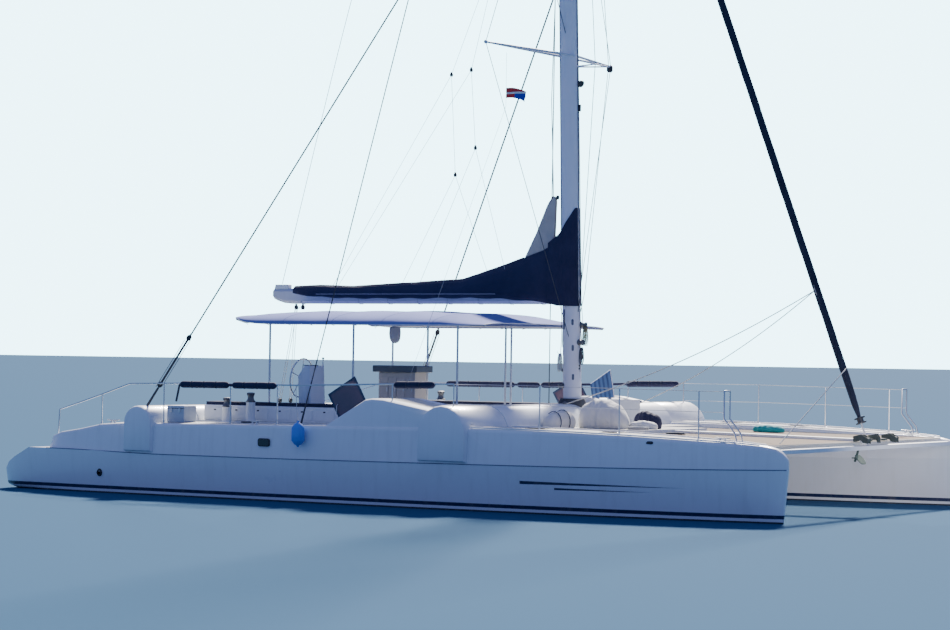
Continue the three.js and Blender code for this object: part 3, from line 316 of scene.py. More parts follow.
def as_piece(name, shape, material, body, replaces=(), angle=SMOOTH_ANGLE, bevel=0.0):
    """Turns a bmesh into a piece: round faces smooth, edges over the angle sharp or softly bevelled."""
    for face in shape.faces:
        face.smooth = True
    for edge in shape.edges:
        edge.smooth = len(edge.link_faces) == 2 and edge.calc_face_angle(0) < angle
    data = bpy.data.meshes.new(name)
    shape.to_mesh(data)
    shape.free()
    data.materials.append(material)
    piece = bpy.data.objects.new(name, data)
    bpy.context.scene.collection.objects.link(piece)
    if bevel:
        edges = piece.modifiers.new("soft_edges", "BEVEL")
        edges.width = bevel
        edges.segments = 2
        edges.limit_method = "ANGLE"
        edges.angle_limit = angle
        edges.harden_normals = True
    return on_boat(piece, body, replaces)


def merged(node):
    """The solid of a node as one closed skin, with its flat faces joined."""
    shape = bmesh.new()
    shape.from_mesh(frame["nodes"][node].data)
    bmesh.ops.remove_doubles(shape, verts=shape.verts, dist=0.00005)
    bmesh.ops.dissolve_limit(shape, angle_limit=0.004, verts=shape.verts, edges=shape.edges)
    return shape


def dress(node, material, body="root", angle=SMOOTH_ANGLE, bevel=0.0):
    """The node's own form with smooth round faces and softened edges, in its place."""
    as_piece(node + "_shell", merged(node), material, body, (node,), angle, bevel)


hull_gelcoat = hull_finish()
for side in SIDES:
    dress(f"hull_{side}", hull_gelcoat)

# Hull seam and fittings
# A dark bead runs along the seam between the lower and upper mouldings. It is painted shadow, standing for
# the shadow line in the step there. Portlights in black frames, exhaust outlets and a fairlead near the bow
# are screwed to the sides.
# Seam: x, height, distance from the hull's middle.
SEAM = [(-8.58, 0.990, 0.843), (-7.70, 0.987, 0.888), (-6.20, 0.960, 0.942), (-5.30, 0.945, 0.952),
        (-2.00, 0.950, 0.962), (1.90, 0.980, 0.962), (3.90, 0.996, 0.912), (5.40, 1.010, 0.828),
        (6.80, 1.026, 0.700), (8.00, 1.042, 0.548), (9.00, 1.060, 0.362), (9.60, 1.071, 0.215),
        (9.88, 1.076, 0.132), (10.10, 1.080, 0.052)]
SEAM_RADIUS = 0.009
PORTLIGHT = {"x": -2.185, "z": 1.30, "long": 0.32, "high": 0.18, "frame": 0.022, "sunk": 0.018}
EXHAUST = {"x": -6.93, "z": 0.47, "out": 0.866, "radius": 0.058, "tall": 1.25, "segments": 20}
# The outlet's rings: share of the radius, distance from the hull's side.
EXHAUST_RINGS = [(1.25, 0.0), (1.25, 0.012), (1.0, 0.018), (1.0, 0.045), (0.8, 0.045), (0.78, 0.0)]
FAIRLEAD = {"x": 7.29, "z": 1.56, "out": 0.595, "long": 0.16, "high": 0.06}


def along(table, x, column):
    """Value of a column of a table of rows sorted by their first column."""
    rows = list(zip(table, table[1:]))
    one, two = next((pair for pair in rows if x <= pair[1][0]), rows[-1])
    share = min(max((x - one[0]) / (two[0] - one[0]), 0), 1)
    return one[column] + (two[column] - one[column]) * share


def bars_along(name, routes, radius, material, body, curved=False, sides=2):
    """Round bars or ropes along routes of points, as one piece; curved ones flow through their points."""
    curve = bpy.data.curves.new(name, "CURVE")
    curve.dimensions = "3D"
    curve.bevel_depth = radius
    curve.bevel_resolution = sides
    curve.use_fill_caps = True
    for route in routes:
        spline = curve.splines.new("NURBS" if curved else "POLY")
        spline.points.add(len(route) - 1)
        for point, place in zip(spline.points, route):
            point.co = (*place, 1)
        if curved:
            spline.order_u = 4
            spline.use_endpoint_u = True
            spline.resolution_u = 6
    source = bpy.data.objects.new(name, curve)
    bpy.context.scene.collection.objects.link(source)
    data = bpy.data.meshes.new_from_object(source)
    bpy.data.objects.remove(source)
    shape = bmesh.new()
    shape.from_mesh(data)
    return as_piece(name, shape, material, body, angle=math.radians(60))


def plate(long, high, corner, thick):
    """Flat plate with round corners, lying on its back in X and Y, its face towards Z."""
    shape = bmesh.new()
    bmesh.ops.create_grid(shape, x_segments=1, y_segments=1, size=0.5)
    bmesh.ops.scale(shape, vec=(long, high, 1), verts=shape.verts)
    bmesh.ops.bevel(shape, geom=shape.verts, offset=corner, affect="VERTICES", segments=4, profile=0.5,
                    material=-1)
    raised = bmesh.ops.extrude_face_region(shape, geom=shape.faces[:])["geom"]
    tops = [item for item in raised if isinstance(item, bmesh.types.BMVert)]
    bmesh.ops.translate(shape, vec=(0, 0, thick), verts=tops)
    bmesh.ops.recalc_face_normals(shape, faces=shape.faces)
    return shape


def placed(shape, at, facing=(0, 0, 1), ahead=(1, 0, 0)):
    """Stands a shape on a point, its Z towards facing and its X as near to ahead as that allows."""
    up = Vector(facing).normalized()
    left = up.cross(Vector(ahead)).normalized()
    turn = Matrix((left.cross(up), left, up)).transposed().to_4x4()
    bmesh.ops.transform(shape, matrix=Matrix.Translation(Vector(at)) @ turn, verts=shape.verts)
    return shape


def joined(shapes):
    """Several shapes as one, still apart where they don't touch."""
    whole = bmesh.new()
    for shape in shapes:
        data = bpy.data.meshes.new("part")
        shape.to_mesh(data)
        shape.free()
        whole.from_mesh(data)
        bpy.data.meshes.remove(data)
    return whole


def plain_finish(name, colour, roughness, metallic=0.0, amount=0.15, scale=2.0, bump=0.05, **more):
    """Finish of small hard parts: one colour, mottled and slightly uneven."""
    material, tree, shader = finish(name, colour, roughness, metallic, **more)
    weathered(tree, shader, (*colour, 1), roughness, amount, scale, bump, tuple(c * 0.6 for c in colour))
    return material


# Painted shadow: the dark bead on the seam stands for the shadow line in the step between the mouldings.
seam_shadow_bead = plain_finish("painted_seam_shadow", (0.10, 0.13, 0.20), 0.6)
black_frame = plain_finish("black_frame", (0.02, 0.024, 0.035), 0.35)
tinted_pane = plain_finish("tinted_pane", (0.012, 0.016, 0.026), 0.06, amount=0.03, Coat_Weight=0.5)
for side, sign in SIDES.items():
    outer = [(x, sign * (HULL_Y + half), z) for x, z, half in SEAM]
    bars_along(f"hull_seam_{side}", [outer], SEAM_RADIUS, seam_shadow_bead, "root")
    wall = sign * (HULL_Y + along(SEAM, PORTLIGHT["x"], 2)) - sign * PORTLIGHT["sunk"]
    out = (0, sign, 0)
    rim = placed(plate(PORTLIGHT["long"], PORTLIGHT["high"], 0.05, 0.030),
                 (PORTLIGHT["x"], wall, PORTLIGHT["z"]), out)
    as_piece(f"portlight_frame_{side}", rim, black_frame, "root", bevel=0.006)
    edge = PORTLIGHT["frame"] * 2
    pane = placed(plate(PORTLIGHT["long"] - edge, PORTLIGHT["high"] - edge, 0.035, 0.034),
                  (PORTLIGHT["x"], wall, PORTLIGHT["z"]), out)
    as_piece(f"portlight_pane_{side}", pane, tinted_pane, "root", bevel=0.003)


def exhaust_outlet(sign):
    """Tall oval pipe end with a flange round it."""
    shape = bmesh.new()
    count = EXHAUST["segments"]
    for share, depth in EXHAUST_RINGS:
        ring = bmesh.ops.create_circle(shape, segments=count, radius=EXHAUST["radius"] * share)["verts"]
        bmesh.ops.scale(shape, vec=(1, EXHAUST["tall"], 1), verts=ring)
        bmesh.ops.translate(shape, vec=(0, 0, depth), verts=ring)
    shape.verts.ensure_lookup_table()
    loops = [shape.edges[i * count:(i + 1) * count] for i in range(len(EXHAUST_RINGS))]
    for one, two in zip(loops, loops[1:]):
        bmesh.ops.bridge_loops(shape, edges=one + two)
    bmesh.ops.edgeloop_fill(shape, edges=loops[-1])
    bmesh.ops.edgeloop_fill(shape, edges=loops[0])
    bmesh.ops.recalc_face_normals(shape, faces=shape.faces)
    wall = sign * (HULL_Y + EXHAUST["out"])
    return placed(shape, (EXHAUST["x"], wall, EXHAUST["z"]), (0, sign, 0))


for side, sign in SIDES.items():
    as_piece(f"exhaust_{side}", exhaust_outlet(sign), black_frame, "root")
    lead = placed(plate(FAIRLEAD["long"], FAIRLEAD["high"], 0.025, 0.02),
                  (FAIRLEAD["x"], sign * (HULL_Y + FAIRLEAD["out"]), FAIRLEAD["z"]), (0, sign, 0.25))
    as_piece(f"fairlead_{side}", lead, black_frame, "root", bevel=0.006)

# Below the waterline
# Stub keels and spade rudders in dark antifouling paint, and on each hull a bronze bracket that carries the
# propeller and its shaft.
antifouling = plain_finish("antifouling_paint", ANTIFOUL_BLUE, 0.7, amount=0.5, scale=1.5, bump=0.2)
bronze = plain_finish("cast_bronze", (0.42, 0.27, 0.11), 0.38, 0.9, amount=0.35, scale=6.0)
for side in SIDES:
    dress(f"keel_{side}", antifouling, "root", bevel=0.006)
    dress(f"rudder_{side}", antifouling, f"rudder_{side}", bevel=0.004)
    dress(f"shaft_bracket_{side}", bronze, "root", bevel=0.004)
    dress(f"propeller_{side}", bronze, f"propeller_{side}", bevel=0.002)

# Decks
# The upper mouldings carry the deck, the pod over the way below and the round ends of the crossbeams. They
# are white gelcoat, with a sanded non-slip surface on their flat tops.
# Deck edge: x, distance from the hull's middle, height.
DECK_EDGE = [(-8.61, 0.610, 1.200), (-8.30, 0.690, 1.375), (-7.70, 0.745, 1.460), (-7.00, 0.800, 1.590),
             (-6.20, 0.860, 1.635), (-5.30, 0.905, 1.650), (-2.00, 0.915, 1.690), (1.90, 0.915, 1.755),
             (3.90, 0.870, 1.752), (5.40, 0.788, 1.730), (6.80, 0.664, 1.690), (8.00, 0.516, 1.642),
             (9.00, 0.338, 1.600), (9.60, 0.198, 1.555), (9.88, 0.118, 1.500)]
NONSLIP = (0.66, 0.64, 0.58)
DECK_GLOSS = 0.24
FLAT_ENOUGH = 0.985
TOE_RAIL = {"aft": 3.15, "fore": 9.55, "in": 0.055, "high": 0.030, "radius": 0.016}


def deck_z(x):
    return along(DECK_EDGE, x, 2)


def make_nonslip():
    """Sanded deck paint: a fine close grain, worn smoother and greyer in patches."""
    tree, given, result = effect("nonslip", [
        ("Colour", "Color", (0.6, 0.6, 0.5, 1)), ("Grain", "Float", 90.0)],
        [("Colour", "Color"), ("Height", "Float"), ("Roughness", "Float")])
    place = put(tree, "TexCoord").outputs["Object"]
    grit = put(tree, "TexVoronoi", {"Vector": place, "Scale": given["Grain"]})
    paths = put(tree, "TexNoise", {"Vector": place, "Scale": 1.3, "Detail": 4.0})
    shade = compute(tree, "MULTIPLY", paths.outputs["Fac"], 0.35)
    tree.links.new(blend(tree, shade, given["Colour"], (0.42, 0.40, 0.35, 1)), result["Colour"])
    tree.links.new(grit.outputs["Distance"], result["Height"])
    tree.links.new(compute(tree, "SUBTRACT", 0.95, shade), result["Roughness"])
    return tree


nonslip = make_nonslip()


def deck_finish():
    """Gelcoat on the sides and rounded edges, non-slip on the flat tops."""
    material, tree, shader = finish("deck_gelcoat", GELCOAT_WHITE, DECK_GLOSS, Coat_Weight=0.25)
    worn = apply_effect(tree, weathering, {"Colour": (*GELCOAT_WHITE, 1), "Grime": (0.50, 0.48, 0.42, 1),
                                           "Roughness": DECK_GLOSS, "Amount": 0.28, "Scale": 1.0})
    sanded = apply_effect(tree, nonslip, {"Colour": (*NONSLIP, 1), "Grain": 140.0})
    upward = put(tree, "SeparateXYZ", {0: put(tree, "NewGeometry").outputs["Normal"]}).outputs["Z"]
    mask = compute(tree, "GREATER_THAN", upward, FLAT_ENOUGH)
    tree.links.new(blend(tree, mask, worn["Colour"], sanded["Colour"]), shader.inputs["Base Color"])
    rough = put(tree, "Mix", {"Factor": mask, "A": worn["Roughness"], "B": sanded["Roughness"]})
    tree.links.new(rough.outputs[0], shader.inputs["Roughness"])
    grain = compute(tree, "MULTIPLY", sanded["Height"], mask)
    relief = put(tree, "Bump", {"Height": grain, "Strength": 0.25, "Distance": 0.004})
    tree.links.new(relief.outputs[0], shader.inputs["Normal"])
    return material


deck_gelcoat = deck_finish()
white_paint = plain_finish("white_aluminium", (0.82, 0.84, 0.86), 0.3, amount=0.12)
between = [x for x, _, _ in DECK_EDGE if TOE_RAIL["aft"] < x < TOE_RAIL["fore"]]
rail_steps = [TOE_RAIL["aft"], *between, TOE_RAIL["fore"]]
for side, sign in SIDES.items():
    dress(f"deck_{side}", deck_gelcoat, "root", bevel=0.012)
    routes = [[(x, sign * HULL_Y + out * (along(DECK_EDGE, x, 1) - TOE_RAIL["in"]),
                deck_z(x) + TOE_RAIL["high"] * 0.4) for x in rail_steps] for out in (-1, 1)]
    bars_along(f"toe_rail_{side}", routes, TOE_RAIL["radius"], white_paint, "root")

# Companionway lids
# Smoked acrylic leaves with a navy border and a steel grab handle on the outer face, each on two hinges at
# the outboard edge of its way down. They stand open at rest.
LID_Y = 4.91
LID_BORDER = 0.075
HANDLE = {"x": -0.62, "low": 1.93, "high": 2.17, "out": 0.045, "slope": 0.03, "radius": 0.008}


def lid_form(node):
    """The leaf with a border sunk into both of its faces."""
    shape = merged(node)
    broad = [face for face in shape.faces if abs(face.normal.y) > 0.98 and face.calc_area() > 0.2]
    for face in broad:
        bmesh.ops.inset_individual(shape, faces=[face], thickness=LID_BORDER, depth=-0.003)
    for face in shape.faces:
        middle = face.calc_center_median()
        if face not in broad and abs(abs(middle.y) - LID_Y) < 0.03 and face.calc_area() > 0.0005:
            face.material_index = 1
    return shape


smoked = plain_finish("smoked_acrylic_sheet", (0.105, 0.058, 0.095), 0.10, amount=0.08, Coat_Weight=0.6)
navy_gloss = plain_finish("navy_paint", (0.016, 0.030, 0.085), 0.3)
steel = plain_finish("polished_steel", (0.60, 0.62, 0.66), 0.22, 0.92, amount=0.2, scale=5.0)
for side, sign in SIDES.items():
    node = f"companionway_lid_{side}"
    body = f"lid_{side}"
    leaf = as_piece(node + "_leaf", lid_form(node), smoked, body, (node,))
    leaf.data.materials.append(navy_gloss)
    wall = sign * (LID_Y + 0.001)
    away = wall + sign * HANDLE["out"]
    grip = [(HANDLE["x"], wall, HANDLE["low"]), (HANDLE["x"], away, HANDLE["low"] + HANDLE["slope"]),
            (HANDLE["x"], away, HANDLE["high"] - HANDLE["slope"]), (HANDLE["x"], wall, HANDLE["high"])]
    bars_along(f"lid_handle_{side}", [grip], HANDLE["radius"], steel, body)

# Bridge deck and crossbeams
# The bridge deck joins the hulls between two arched beams, with a narrow platform ahead of it. All are
# moulded in white gelcoat, with non-slip on the flat tops. The front and centre beams are painted tube. The
# front one dips at its ends, where it goes into the hulls, and carries the rubber bow rollers.
BRIDGE_TOP = 1.70
BEAM_DIP = {"from": 4.32, "above": 1.5, "drop": 0.12}
for node in ("bridge_deck", "main_beam", "aft_beam"):
    dress(node, deck_gelcoat, bevel=0.015)
painted_tube = plain_finish("painted_tube", (0.80, 0.82, 0.84), 0.32, amount=0.3)
dress("centre_beam", painted_tube, bevel=0.008)
front = merged("front_beam")
for vert in front.verts:
    if abs(vert.co.y) > BEAM_DIP["from"] and vert.co.z > BEAM_DIP["above"]:
        vert.co.z -= BEAM_DIP["drop"]
as_piece("front_beam_shell", front, painted_tube, "root", ("front_beam",), bevel=0.008)
roller_rubber = plain_finish("roller_rubber", (0.045, 0.060, 0.058), 0.6, amount=0.4, scale=6.0)
dress("bow_rollers", roller_rubber, bevel=0.003)

# Nets
# Two nets of cord fill the space between the bows, one each side of the centre beam, inside a border of
# webbing that meets the hulls and beams. Their square meshes are thickened from a grid.
NET = {"aft": 3.93, "fore": 9.72, "inner": 0.14, "pitch": 0.075, "cord": 0.014, "sag": 0.010}
# Heights of the nets at the main and front beams: x, height.
NET_LEVELS = [(3.90, 1.640), (9.84, 1.545)]
PLATFORM = {"fore": 5.23, "half": 1.53}


def net_height(x):
    (aft, low), (fore, high) = NET_LEVELS
    return low + (high - low) * ((x - aft) / (fore - aft))


def net_reach(x):
    """How far out from the middle line the net goes: to the inner side of the hull."""
    return HULL_Y - along(SEAM, x, 2) * 1.02 - 0.03


def net_grid(sign):
    """Square meshes of cord, cut to the space between platform, hull and beams."""
    shape = bmesh.new()
    long = NET["fore"] - NET["aft"]
    wide = HULL_Y - NET["inner"]
    bmesh.ops.create_grid(shape, x_segments=round(long / NET["pitch"]), y_segments=round(wide / NET["pitch"]),
                          size=0.5)
    bmesh.ops.scale(shape, vec=(long, wide, 1), verts=shape.verts)
    bmesh.ops.translate(shape, vec=(NET["aft"] + long / 2, NET["inner"] + wide / 2, 0), verts=shape.verts)
    for vert in shape.verts:
        sag = NET["sag"] * math.sin(math.pi * (vert.co.x - NET["aft"]) / long)
        vert.co.z = net_height(vert.co.x) - sag
    lost = [vert for vert in shape.verts if vert.co.y > net_reach(vert.co.x)
            or (vert.co.x < PLATFORM["fore"] and vert.co.y < PLATFORM["half"])]
    bmesh.ops.delete(shape, geom=lost, context="VERTS")
    if sign < 0:
        bmesh.ops.scale(shape, vec=(1, -1, 1), verts=shape.verts)
        bmesh.ops.reverse_faces(shape, faces=shape.faces)
    return shape


net_cord = plain_finish("net_cord", (0.46, 0.38, 0.30), 0.9, amount=0.5, scale=3.0)
webbing = plain_finish("net_webbing", (0.66, 0.63, 0.56), 0.8, amount=0.4, scale=2.0)
for side, sign in SIDES.items():
    node = f"trampoline_{side}"
    net = as_piece(f"net_{side}", net_grid(sign), net_cord, "root", (node,))
    knots = net.modifiers.new("cords", "WIREFRAME")
    knots.thickness = NET["cord"]
    knots.use_even_offset = False
    stops = [NET["aft"] + (NET["fore"] - NET["aft"]) * i / 24 for i in range(25)]
    outer = [(x, sign * net_reach(x), net_height(x)) for x in stops]
    inner = [(x, sign * NET["inner"], net_height(x)) for x in (PLATFORM["fore"], NET["fore"])]
    beside = [(x, sign * PLATFORM["half"], net_height(x)) for x in (NET["aft"], PLATFORM["fore"])]
    edge = beside + inner + outer[::-1] + beside[:1]
    bars_along(f"net_border_{side}", [edge], 0.014, webbing, "root")

# Mast, spreaders and side stays
# An aluminium section painted pale grey stands on a cast step and carries two pairs of swept spreaders. Its
# stays are wire in a dark sheath, and the running backstays are wire served in grey. Each has a rigging
# screw at its foot.
MAST = {"top": 26.6, "x": 2.5, "z": 2.18, "rake": 0.025, "long": 0.23, "half": 0.13, "taper": 21.5,
        "tip": 0.6}
SPREADER_LEVELS = (10.2, 17.0)
SPREADER_DEPTH = 0.10
SPREADER_GREY = (0.60, 0.64, 0.74)
SHEATH_BLACK = (0.035, 0.040, 0.055)
SERVING = 0.010


def mast_x(z):
    return MAST["x"] - MAST["rake"] * (z - MAST["z"])


def mast_skin(z, turn, grow=0.0):
    """Point on the mast's skin at a height and an angle from its fore edge, port side positive."""
    share = min(max((z - MAST["taper"]) / (MAST["top"] - MAST["taper"]), 0), 1)
    size = 1 + (MAST["tip"] - 1) * share
    return Vector((mast_x(z) + (MAST["long"] * size + grow) * math.cos(turn),
                   (MAST["half"] * size + grow) * math.sin(turn), z))


mast_paint = plain_finish("mast_paint", (0.86, 0.86, 0.92), 0.36, amount=0.22, scale=1.4)
grey_casting = plain_finish("grey_casting", (0.07, 0.075, 0.09), 0.5, 0.2, amount=0.4, scale=4.0)
dark_sheath = plain_finish("dark_wire_sheath", SHEATH_BLACK, 0.55, amount=0.3, scale=3.0)
grey_serving = plain_finish("grey_served_wire", (0.085, 0.085, 0.095), 0.8, amount=0.5, scale=9.0, bump=0.3)


def swollen(node, amount):
    """The node's form with its skin moved outwards."""
    shape = merged(node)
    shape.normal_update()
    for vert in shape.verts:
        vert.co += vert.normal * amount
    return shape


def spreader_finish():
    """Painted spreader and dark stays: the paint covers only the height of each spreader."""
    material, tree, shader = finish("spreader_and_stay", SPREADER_GREY, 0.4)
    height = object_axes(tree)["Z"]
    colour = (*SHEATH_BLACK, 1)
    for level in SPREADER_LEVELS:
        near = band(tree, height, level - SPREADER_DEPTH, level + SPREADER_DEPTH)
        colour = blend(tree, near, colour, (*SPREADER_GREY, 1))
    weathered(tree, shader, colour, 0.4, 0.2, 2.0, 0.03)
    return material


spreader_paint = spreader_finish()
dress("mast", mast_paint)
dress("mast_step", grey_casting, bevel=0.004)
for side in SIDES:
    dress(f"lower_spreader_{side}", spreader_paint)
    dress(f"upper_spreader_{side}", spreader_paint)
    dress(f"cap_shroud_{side}", dark_sheath)
    runner = f"runner_{side}"
    as_piece(runner + "_shell", swollen(runner, SERVING), grey_serving, "root", (runner,))

# Mast fittings
# Winches with coiled halyard ends, cleats, slots where the halyards come out, a deck light, a track for the
# sail's slides, jumper struts on the fore side, and a crane at the masthead. Angles round the mast are
# counted from its fore edge, to port.
EXITS = [4.08, 3.49, 2.825]
EXIT_TURN = -1.15
TRACK = {"low": 4.95, "high": 26.3, "wide": 0.045, "deep": 0.016}
# Winches: height, angle, size. Cleats: height, angle. Halyards: height below, angle, height above.
WINCHES = [(4.02, 0.15, 1.0), (3.62, -0.25, 1.0), (2.98, 2.75, 0.8), (2.62, -2.6, 0.8)]
CLEATS = [(3.30, 0.3), (3.05, -0.35), (3.42, 2.9), (2.72, 2.4)]
HALYARDS = [(3.72, 0.20, 25.9), (3.45, -0.22, 22.0), (3.50, 2.85, 25.5), (3.00, -2.75, 20.0)]
HALYARD_RADIUS = 0.008
HANK_RADIUS = 0.006
YARN_TURNS = 260.0
JUMPER = {"x": 3.16, "y": 0.31, "z": 9.95, "radius": 0.017, "top": 23.6, "foot": 4.82, "wire": 0.008}
CRANE_Z = 26.42
PIVOT = Vector((2.095375, 0, 4.675))
PIVOT_LINE = Vector((-0.0249922, 0, 0.9996876))


def on_pivot(z):
    """Point on the line about which the boom swings."""
    return PIVOT + PIVOT_LINE * ((z - PIVOT.z) / PIVOT_LINE.z)


def turned(profile, steps=24):
    """Form turned on a lathe about Z from a list of radius and height."""
    shape = bmesh.new()
    points = [shape.verts.new((radius, 0, height)) for radius, height in profile]
    edges = [shape.edges.new(pair) for pair in zip(points, points[1:])]
    bmesh.ops.spin(shape, geom=points + edges, cent=(0, 0, 0), axis=(0, 0, 1), angle=2 * math.pi, steps=steps,
                   use_merge=True)
    bmesh.ops.remove_doubles(shape, verts=shape.verts, dist=0.0001)
    bmesh.ops.recalc_face_normals(shape, faces=shape.faces)
    return shape


def sized(shape, scale):
    bmesh.ops.scale(shape, vec=(scale, scale, scale), verts=shape.verts)
    return shape


def winch_form():
    """Base, waisted drum and self-tailing crown with a socket for the handle."""
    return turned([(0, 0), (0.075, 0), (0.078, 0.02), (0.060, 0.035), (0.050, 0.060), (0.048, 0.090),
                   (0.058, 0.115), (0.066, 0.120), (0.060, 0.128), (0.066, 0.136), (0.064, 0.150),
                   (0.030, 0.158), (0.016, 0.158), (0.014, 0.140), (0, 0.140)])


def cleat_form():
    """Horn cleat: two feet, and a bar that turns up at both ends."""
    shape = bmesh.new()
    for x in (-0.035, 0.035):
        foot = bmesh.ops.create_cone(shape, cap_ends=True, segments=12, radius1=0.016, radius2=0.010,
                                     depth=0.036)
        bmesh.ops.translate(shape, vec=(x, 0, 0.018), verts=foot["verts"])
    horn = bmesh.new()
    bmesh.ops.create_cone(horn, cap_ends=True, segments=12, radius1=0.011, radius2=0.011, depth=0.22)
    bmesh.ops.rotate(horn, cent=(0, 0, 0), matrix=Matrix.Rotation(math.pi / 2, 3, "Y"), verts=horn.verts)
    bmesh.ops.bisect_plane(horn, geom=horn.verts[:] + horn.edges[:] + horn.faces[:], plane_co=(0, 0, 0),
                           plane_no=(1, 0, 0))
    for vert in horn.verts:
        reach = abs(vert.co.x) / 0.11
        rise = 0.042 + 0.012 * reach
        vert.co = (vert.co.x, vert.co.y * (1 - 0.5 * reach), vert.co.z * (1 - 0.4 * reach) + rise)
    return joined([shape, horn])


def facing_out(z, turn):
    """Place and outward direction on the mast's skin."""
    at = mast_skin(z, turn, -0.004)
    out = Vector((math.cos(turn) / MAST["long"], math.sin(turn) / MAST["half"], 0)).normalized()
    return at, out


black_drum = plain_finish("winch_metal", (0.16, 0.165, 0.18), 0.28, 0.85, amount=0.3, scale=8.0)
dark_fitting = plain_finish("dark_fitting", (0.020, 0.024, 0.034), 0.4, amount=0.2, scale=6.0)
drums = [placed(sized(winch_form(), scale), *facing_out(z, turn), (0, 0, 1)) for z, turn, scale in WINCHES]
as_piece("mast_winches", joined(drums), black_drum, "root")
horns = [placed(cleat_form(), *facing_out(z, turn), (0, 0, 1)) for z, turn in CLEATS]
as_piece("mast_cleats", joined(horns), dark_fitting, "root")
slots = [placed(plate(0.14, 0.055, 0.027, 0.012), *facing_out(z, EXIT_TURN * sign), (0, 0, 1))
         for z in EXITS for sign in (1, -1)]
slots.append(placed(plate(0.46, 0.055, 0.026, 0.012), *facing_out(4.14, -2.2), (0, 0, 1)))
slot_rim = plain_finish("slot_rim", (0.14, 0.155, 0.21), 0.5, amount=0.2, scale=6.0)
as_piece("halyard_exits", joined(slots), slot_rim, "root", bevel=0.003)


def box_between(low, high):
    shape = bmesh.new()
    bmesh.ops.create_cube(shape, size=1)
    for vert in shape.verts:
        vert.co = [a + (b - a) * (c + 0.5) for a, b, c in zip(low, high, vert.co)]
    return shape


def track_form():
    """T-shaped track that follows the rake of the mast's after face."""
    half = TRACK["wide"] / 2
    base = box_between((-TRACK["deep"], -half * 0.5, 0), (0.01, half * 0.5, 1))
    rail = box_between((-TRACK["deep"] * 2, -half, 0), (-TRACK["deep"], half, 1))
    shape = joined([base, rail])
    for vert in shape.verts:
        z = TRACK["low"] + (TRACK["high"] - TRACK["low"]) * vert.co.z
        vert.co = mast_skin(z, math.pi) + Vector((vert.co.x, vert.co.y, 0))
    return shape


as_piece("mast_track", track_form(), painted_tube, "root")
crane_x = mast_x(26.5)
crane = joined([box_between((on_pivot(CRANE_Z).x - 0.06, -0.025, 26.44), (crane_x + 0.24, 0.025, 26.60)),
                box_between((crane_x - 0.12, -0.075, 26.58), (crane_x + 0.12, 0.075, 26.615))])
as_piece("masthead_crane", crane, painted_tube, "root", bevel=0.008)
deck_light = [placed(turned([(0, 0), (0.06, 0), (0.085, 0.05), (0.085, 0.075), (0.07, 0.08), (0, 0.07)]),
                     mast_skin(9.58, 0.15, 0.02), (1, -0.25, -0.55)),
              placed(plate(0.16, 0.07, 0.02, 0.05), *facing_out(9.0, 0.1), (0, 0, 1)),
              placed(plate(0.16, 0.07, 0.02, 0.04), *facing_out(8.95, math.pi - 0.3), (0, 0, 1))]
as_piece("mast_lights", joined(deck_light), dark_fitting, "root", bevel=0.003)
strut_ends = {sign: (JUMPER["x"], sign * JUMPER["y"], JUMPER["z"]) for sign in (-1, 1)}
struts = [[mast_skin(JUMPER["z"], sign * 0.5), end] for sign, end in strut_ends.items()]
struts.append(list(strut_ends.values()))
bars_along("jumper_struts", struts, JUMPER["radius"], mast_paint, "root")
jumpers = [[mast_skin(JUMPER["top"], sign * 0.4), end, mast_skin(JUMPER["foot"], sign * 0.45, 0.11),
            mast_skin(JUMPER["foot"] - 0.5, sign * 0.45)] for sign, end in strut_ends.items()]
bars_along("jumper_stays", jumpers, JUMPER["wire"], dark_sheath, "root")


def rope_finish(name, colour, second):
    """Braided rope: two crossing spirals of yarn, one of them in a second colour here and there."""
    material, tree, shader = finish(name, colour, 0.8, Sheen_Weight=0.1)
    axis = object_axes(tree)
    lean = compute(tree, "ADD", axis["X"], axis["Y"])
    up = compute(tree, "ADD", axis["Z"], lean)
    one = compute(tree, "SINE", compute(tree, "MULTIPLY", up, YARN_TURNS))
    down = compute(tree, "SUBTRACT", axis["Z"], lean)
    two = compute(tree, "SINE", compute(tree, "MULTIPLY", down, YARN_TURNS))
    yarn = compute(tree, "MULTIPLY", one, two)
    fleck = compute(tree, "GREATER_THAN", yarn, 0.35)
    soiled = put(tree, "TexNoise", {"Scale": 5.0, "Detail": 4.0})
    tree.links.new(soiled.inputs["Vector"], put(tree, "TexCoord").outputs["Object"])
    base = blend(tree, compute(tree, "MULTIPLY", soiled.outputs["Fac"], 0.6), (*colour, 1),
                 (*[c * 0.55 for c in colour], 1))
    tree.links.new(blend(tree, fleck, base, (*second, 1)), shader.inputs["Base Color"])
    relief = put(tree, "Bump", {"Height": yarn, "Strength": 0.5, "Distance": 0.002})
    tree.links.new(relief.outputs[0], shader.inputs["Normal"])
    return material


white_rope = rope_finish("white_rope", (0.62, 0.62, 0.60), (0.30, 0.34, 0.42))
olive_rope = rope_finish("olive_rope", (0.20, 0.19, 0.12), (0.45, 0.40, 0.20))
dark_rope = rope_finish("dark_rope", (0.035, 0.042, 0.060), (0.10, 0.12, 0.18))
grey_rope = rope_finish("grey_rope", (0.22, 0.21, 0.20), (0.32, 0.31, 0.29))
falls = [[mast_skin(low, turn, 0.075), mast_skin(low + 0.8, turn, 0.022), mast_skin(low + 3.5, turn, 0.012),
          mast_skin(high, turn, 0.006)] for low, turn, high in HALYARDS]
bars_along("mast_halyards", falls, HALYARD_RADIUS, dark_rope, "root")


